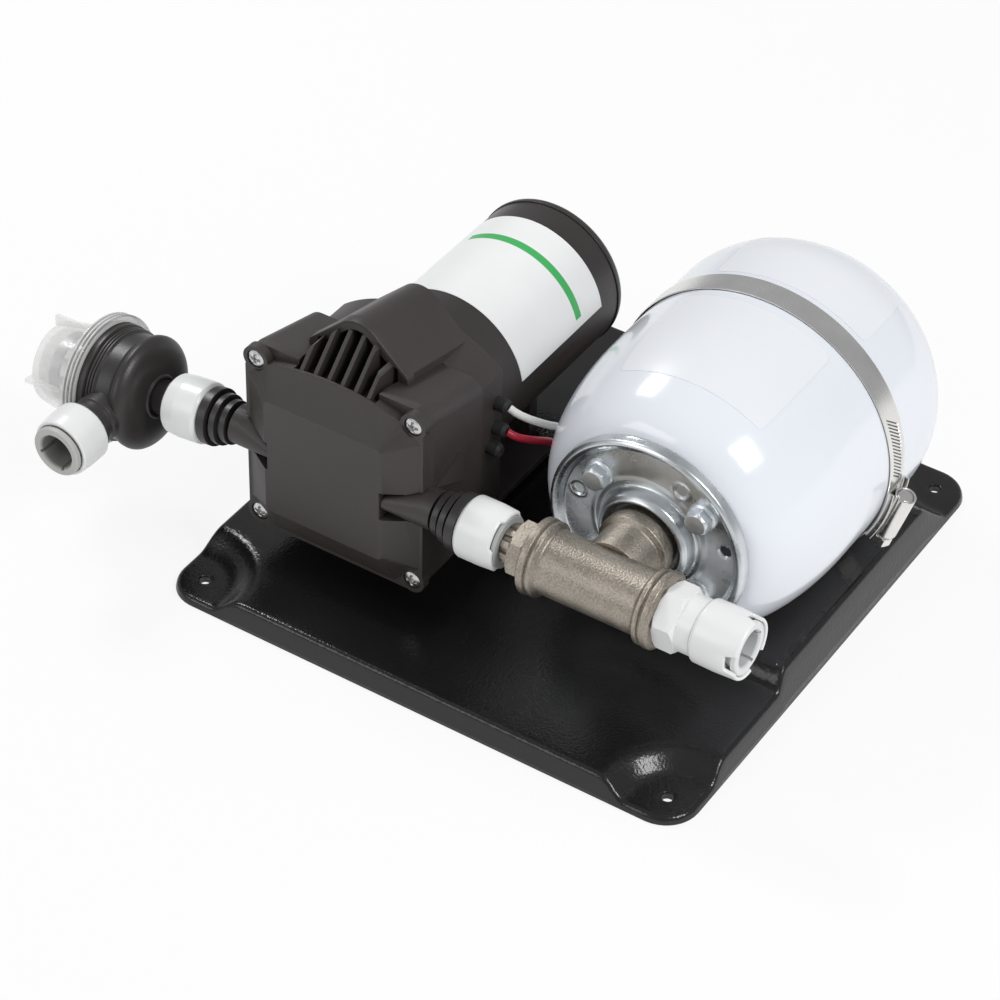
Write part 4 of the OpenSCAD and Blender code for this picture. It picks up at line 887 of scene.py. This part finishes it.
bm = bmesh.new()
lobed = nut_start + [(13.4, 11, 3), (13, 20.4, 1.2), (12.4, 21.3, 0.6), (11.5, 20.8, 0.4),
                     (11.5, 15.6, 0.2), (NUT_BORE, 15.6, 0.2)]
turn(bm, lobed, further(port_frame, 107), 0.4, 5, 192, warp=lobes)
joined("outlet_tube_nut", bm, "nut_white", "base", "tube_nut", crease=34)
bored("outlet_grey", (0.68, 0.69, 0.69), 0.8, ((1, PORT_Y * MM), (2, AXIS_Z * MM)))
intake_spot = intake_frame.translation * MM
bored("intake_grey", (0.46, 0.46, 0.44), 0.6, ((0, intake_spot.x), (2, intake_spot.z)))
collet("outlet_tube_collet", "outlet_collet", "tube_collet", port_frame, 125.1, "outlet_grey")
collet("intake_tube_collet", "inlet_collet", "intake_collet", intake_frame, 49.1, "intake_grey")
print("lobed nut and collets made")

# %% [markdown]
# The strainer's case is a moulded dome with a step behind its shoulder and a few turns of thread that
# the clear bowl's ring screws onto. Outlines turned about the two axes that cross in it, the
# inlet's and the intake's, give the dome, the spigot and the branch. The bowl is turned too, and four
# flat wings for the fingers are set on it.

# %% Strainer case and bowl
CASE_PITCH, BOWL_PITCH, WING_HALF = 1.5, 1.87, 0.9
bm = bmesh.new()
dome = [(0, 46), (8, 46), (8.2, 45.2, 0.2), (9.1, 45.2, 0.3), (9.5, 46.1, 0.3)]
dome += [(10.5 + 14 * sin(a), 52.2 - 6.1 * cos(a)) for a in (radians(6 * k) for k in range(1, 16))]
dome += [(24.3, 53.8, 1), (22.7, 55.6, 1.4), (23, 62.4, 0.4)]
for z in (63 + CASE_PITCH * k for k in range(3)):
    dome += [(24.1, z, 0.3), (24.1, z + 0.7, 0.3), (23.2, z + 1, 0.2)]
dome += [(24.9, 67.6, 0.3), (24.9, 72), (20.1, 72), (20.1, 48.6), (0, 48.6)]
turn(bm, dome, inlet_frame, 0.3, 6, 128, loop=False)
spigot = [(5, 28.5), (9.5, 28.5), (9.5, 36.5), (11.1, 36.6), (11.1, 38), (7.5, 38.2), (7.5, 47), (5, 47)]
turn(bm, spigot, inlet_frame, 0.3, 3)
inlet_branch = [(7, 16), (10.4, 16), (10.4, 25.6, 0.7), (9.6, 26.6, 0.4), (9.6, 30.2, 0.2),
                (11.3, 30.6, 0.3), (11.3, 32.5), (7, 32.5)]
turn(bm, inlet_branch, intake_frame, 0.3)
joined("strainer_case", bm, "plug_plastic", "strainer", "strainer_body", crease=36)

bm = bmesh.new()
bowl = [(0, 100.5), (17.5, 100.5, 1.8), (21.5, 77.8, 1.2), (23.2, 76.3, 0.8), (27.4, 76.1, 0.3)]
for z in (75.4 - BOWL_PITCH * k for k in range(3)):
    bowl += [(28.2, z, 0.4), (28.2, z - 0.8, 0.4), (27.3, z - 1.3, 0.2)]
bowl += [(27.3, 70.2), (25.2, 70.2), (25.2, 74.3, 0.2), (19.6, 74.4, 0.4), (15.5, 98.5, 1.2), (0, 98.5)]
turn(bm, bowl, inlet_frame, 0.2, 4, 128, loop=False)
wing = rounded([(17, 100.3), (22, 100.3), (21.6, 92), (21, 79)], 0.5, 3)
for grip in (radians(10 + 90 * k) for k in range(4)):
    side = polar(WING_HALF, grip + pi / 2)
    skin(bm, [[bm.verts.new(inlet_frame @ (polar(r, grip, z) + side * s)) for r, z in wing] for s in (-1, 1)],
         closed=False, caps=True)
joined("clear_strainer_bowl", bm, "clear_bowl", "bowl", "strainer_bowl", crease=36)
print("strainer case and bowl made")

# %% [markdown]
# The clamp's housing is folded from strip: a saddle that hugs the band, with its two long edges turned
# up, and a rolled barrel for the worm. The saddle is one flat section swept along the band's
# curve, and the barrel and the worm are turned. The band is a strip swept right round, and its rows
# lean where the slots are, so that each slanted slot has a clean edge without a finer mesh. The
# slots' floors are painted near black, as painted shade.

# %% Clamp band, housing and worm
CLAMP_TURN, BAND_Y, BAND_IN, BAND_OUT, BAND_UNDER, BAND_T = radians(-17), 38.5, 63.15, 63.95, 66.4, 0.8
SLOT_COUNT, SLOT_FIRST, SLOT_PITCH, SLOT_LEAN, SLOT_DEPTH, LEAN_FADE = 17, -1.3, 1.48, 0.75, 0.6, 15


def round_tank(radius, angle, across=0):
    """A place round the tank's axis, beside the band's middle."""
    return Vector((TANK_X + radius * cos(angle), BAND_Y + across, AXIS_Z + radius * sin(angle)))


def band_strip():
    """The band goes round the tank and under the tray; angles are in degrees."""
    slots = [SLOT_FIRST + SLOT_PITCH * k for k in range(SLOT_COUNT)]
    rows = [(s + d, SLOT_DEPTH if abs(d) < 0.3 else 0) for s in slots for d in (-0.36, -0.26, 0.26, 0.36)]
    rows += [(a, 0) for a in range(24, 358)]
    columns = [(s, 0.25 if abs(s) > 5.6 else 0, abs(s) < 3.4)
               for s in (-5.75, -5.5, -3.6, -3.2, 0, 3.2, 3.6, 5.5, 5.75)]
    bm = bmesh.new()
    loops = []
    for row, dent in rows:
        signed = row if row < 180 else row - 360
        outside = max(SLOT_FIRST - signed, signed - slots[-1], 0)
        lean = SLOT_LEAN * (1 - ramp(outside, LEAN_FADE))
        outer, inner = [], []
        for across, drop, cut in columns:
            angle = radians(row - lean * across)
            inside = BAND_IN + (BAND_UNDER - BAND_IN) * ramp(-sin(angle) - 0.743, 0.034)
            outer.append(bm.verts.new(round_tank(inside + BAND_T - drop - dent * cut, angle, across)))
            inner.append(bm.verts.new(round_tank(inside, angle, across)))
        loops.append(outer + inner[::-1])
    skin(bm, loops)
    return bm


band_steel = finishes["band_steel"]
# Painted shade: below the band's outer face the steel is coloured near black, so the pressed slots show dark.
from_tank = band_steel.from_axis(((0, TANK_X * MM), (2, AXIS_Z * MM)))
band_steel.paint_shade(1 - band_steel.between(from_tank, 0.0633, 0.0636), (0.1, 0.1, 0.1, 1))
joined("clamp_strip", band_strip(), "band_steel", "base", "clamp_band", crease=35)

worm_frame = axis_frame(round_tank(BAND_OUT + 4.7, CLAMP_TURN),
                        (-sin(CLAMP_TURN), 0, cos(CLAMP_TURN)), (0, 1, 0))
fold = rounded([(-6.9, 3), (-6.9, 0.1, 0.9), (6.9, 0.1, 0.9), (6.9, 3), (6.1, 3), (6.1, 0.9, 0.4),
                (-6.1, 0.9, 0.4), (-6.1, 3)], 0.3, 3)
bm = bmesh.new()
skin(bm, [[bm.verts.new(round_tank(BAND_OUT + lift, CLAMP_TURN + radians(k), across)) for across, lift in fold]
          for k in range(-12, 13)], closed=False, caps=True)
turn(bm, [(3.62, -11.5), (4.5, -11.5), (4.5, 11.5), (3.62, 11.5)], worm_frame, 0.25, 3, 64)
joined("clamp_housing_box", bm, "clamp_steel", "base", "clamp_housing", crease=35)

bm = bmesh.new()
worm = [(0, -13.6), (2.9, -13.6), (2.9, -12.4), (3.5, -12.2), (3.5, 10.4), (3.1, 11.2, 0.4), (0, 11.2)]
turn(bm, worm, worm_frame, 0.2, 3, 64, loop=False)
worm_head = [(0, -18.5), (3.2, -18.5, 0.3), (4, -17.6, 0.4), (4, -14, 0.3), (3.4, -13.5), (0, -13.5)]
turn(bm, worm_head, worm_frame, 0.3, 3, loop=False, warp=hexagon_cut(3.46))
joined("clamp_worm", bm, "clamp_steel", "worm", "clamp_screw", crease=35)
print("clamp made")

# %% [markdown]
# The pump's own mouldings are right as solids, but a mould leaves a small radius on each edge, and
# black plastic is read almost only by those bright lines. Copies with bevelled edges stand for them.

# %% Pump mouldings with soft edges
soft_edged = {
    "pump_plastic": [("pump_cover", "front_cover", 0.7), ("pump_head", "head_housing", 0.45),
                     ("switch_hood", "switch_cover", 0.5), ("pump_rear", "rear_housing", 0.6),
                     ("pump_foot", "foot_bracket", 0.5)],
    "motor_paint": [("motor_case", "motor_can", 0.4), ("motor_cap", "motor_end_cap", 0.4)],
    "plug_plastic": [("inlet_port_plug", "inlet_plug", 0.3), ("outlet_port_plug", "outlet_plug", 0.3),
                     ("tank_air_valve", "air_valve", 0.4)]}
for finish, rows in soft_edged.items():
    for name, node, width in rows:
        softened(name, node, "base", finish, width)
print("soft-edged mouldings made")

# %% [markdown]
# The hood ends in front in a lip that stands a little proud of it, and the step behind the lip is the
# seam between the two mouldings. The lip is a flat section swept along the hood's arch: up one
# leg, round the crown and down the other leg.

# %% Hood lip
HEAD_TOP, HOOD_HALF, CROWN_Z, CROWN_R = 114.8, 23, 6.5, 11
lip_lean = atan2(-CROWN_Z, HOOD_HALF) + acos(CROWN_R / hypot(HOOD_HALF, CROWN_Z))
lip_leg = [(HOOD_HALF, -3, 0), (HOOD_HALF, -0.4, 0), (HOOD_HALF - 0.3, 0.3, lip_lean)]
lip_turns = [lip_lean + (pi - 2 * lip_lean) * k / 24 for k in range(25)]
lip_path = lip_leg + [(CROWN_R * cos(a), CROWN_Z + CROWN_R * sin(a), a) for a in lip_turns]
lip_path += [(-x, z, pi - a) for x, z, a in lip_leg[::-1]]
lip_section = rounded([(-0.6, -70.8), (0.8, -70.8, 0.4), (0.8, -66.1, 0.25), (-0.6, -66.1)], 0.1, 3)
bm = bmesh.new()
skin(bm, [[bm.verts.new((PUMP_X + x + out * cos(a), y, HEAD_TOP + z + out * sin(a)))
           for out, y in lip_section] for x, z, a in lip_path], closed=False, caps=True)
joined("hood_lip", bm, "pump_plastic", "base", crease=35)
print("hood lip made")

# %% [markdown]
# Four screws hold the cover. Each has a low domed head with a cross recess. The screw is turned, and
# the cross is where the head's height drops, so its walls get the slope that a driver's tip has.

# %% Cover screws
SCREW_X, SCREW_Y, SCREW_Z, HEAD_R, SHANK_R = 37.75, -88, 39.8, 3.8, 2
HEAD_BACK, SCREW_TIP = -1.9, -14


def cross_cut(r, z, a):
    """Lowers the head where its cross recess is, and leaves the shank."""
    if z < HEAD_BACK / 2:
        return r, z
    short, long = sorted((abs(r * cos(a)), abs(r * sin(a))))
    return r, z - 1.7 * ramp(2.5 - long, 0.5) * ramp(0.75 - short, 0.3)


screw = [(r, 0.35 - 0.85 * (r / HEAD_R) ** 2.6) for r in [0.19 * k for k in range(20)] + [HEAD_R]]
screw += [(HEAD_R, HEAD_BACK), (SHANK_R, HEAD_BACK), (SHANK_R, SCREW_TIP), (0, SCREW_TIP)]
bm = bmesh.new()
for sx, sz in quarters:
    place = axis_frame((PUMP_X + sx * SCREW_X, SCREW_Y, AXIS_Z + sz * SCREW_Z), (0, -1, 0))
    turn(bm, screw, place, loop=False, warp=cross_cut)
joined("head_screws", bm, "screw_steel", "base", "cover_screws", crease=50)
print("cover screws made")

# %% [markdown]
# The studio is a white floor and even, soft light.

# %% Studio
WHITE = (1, 1, 1, 1)
FLOOR_HALF, FLOOR_GLOW, GLOSS_GLOW, CARD_GLOW = 6, 0.86, 0.45, 0.5

world = bpy.data.worlds.new("studio")
bpy.context.scene.world = world
world.use_nodes = True
sky = Network(world.node_tree)
sky.tree.nodes.clear()
rays = sky.outputs(sky.node("ShaderNodeLightPath"))
seen = sky.math("MAXIMUM", rays["Is Camera Ray"], rays["Is Transmission Ray"])
soft = sky.node("ShaderNodeBackground", sockets={"Color": (0.96, 0.98, 1, 1), "Strength": 0.4})
white = sky.node("ShaderNodeBackground", sockets={"Color": WHITE})
both = sky.node("ShaderNodeMixShader", sockets={0: seen, 1: soft, 2: white})
sky.node("ShaderNodeOutputWorld", sockets={"Surface": both})

floor = Finish("studio_floor", (0.86, 0.86, 0.86), {"Roughness": 0.9, "Specular IOR Level": 0.1})
rays = floor.outputs(floor.node("ShaderNodeLightPath"))
card = floor.between(floor.axes()[0], 0.11, 0.14)
share = (rays["Is Camera Ray"] + rays["Is Transmission Ray"]) * FLOOR_GLOW
share = share + rays["Is Glossy Ray"] * (GLOSS_GLOW + card * CARD_GLOW)
glow = floor.node("ShaderNodeEmission", sockets={"Color": WHITE, "Strength": 1})
paint = Flow(floor, floor.surface.outputs[0])
blend = floor.node("ShaderNodeMixShader", sockets={0: share, 1: paint, 2: glow})
floor.join(blend, floor.tree.nodes["Material Output"].inputs["Surface"])
mesh = bpy.data.meshes.new("studio_floor")
mesh.from_pydata([(x * FLOOR_HALF, y * FLOOR_HALF, 0) for x, y in ((-1, -1), (1, -1), (1, 1), (-1, 1))],
                 [], [(0, 1, 2, 3)])
mesh.materials.append(floor.material)
placed("studio_floor", mesh)


def softbox(name, spot, aim_z, size, power, mirrored=True):
    lamp = bpy.data.lights.new(name, "AREA")
    lamp.shape = "RECTANGLE"
    lamp.size, lamp.size_y = size
    lamp.energy = power
    holder = placed(name, lamp)
    holder.location = spot
    holder.rotation_euler = (Vector(spot) - UP * aim_z).to_track_quat("Z", "Y").to_euler()
    holder.visible_glossy = mirrored


softbox("top_softbox", (-0.9, 0.26, 1.1), 0.05, (0.34, 0.3), 7)
softbox("front_softbox", (-0.7, -1.3, 0.8), 0.05, (0.9, 0.7), 4.3)
softbox("side_softbox", (1.02, -0.15, 1.2), 0.06, (0.5, 0.5), 10.5)
softbox("low_softbox", (1.6, -0.35, 0.5), 0.05, (1.4, 0.7), 4.5, mirrored=False)
bpy.context.scene.view_settings.view_transform = "Standard"
print("studio ready")

# %% Update the scene
bpy.context.view_layer.update()
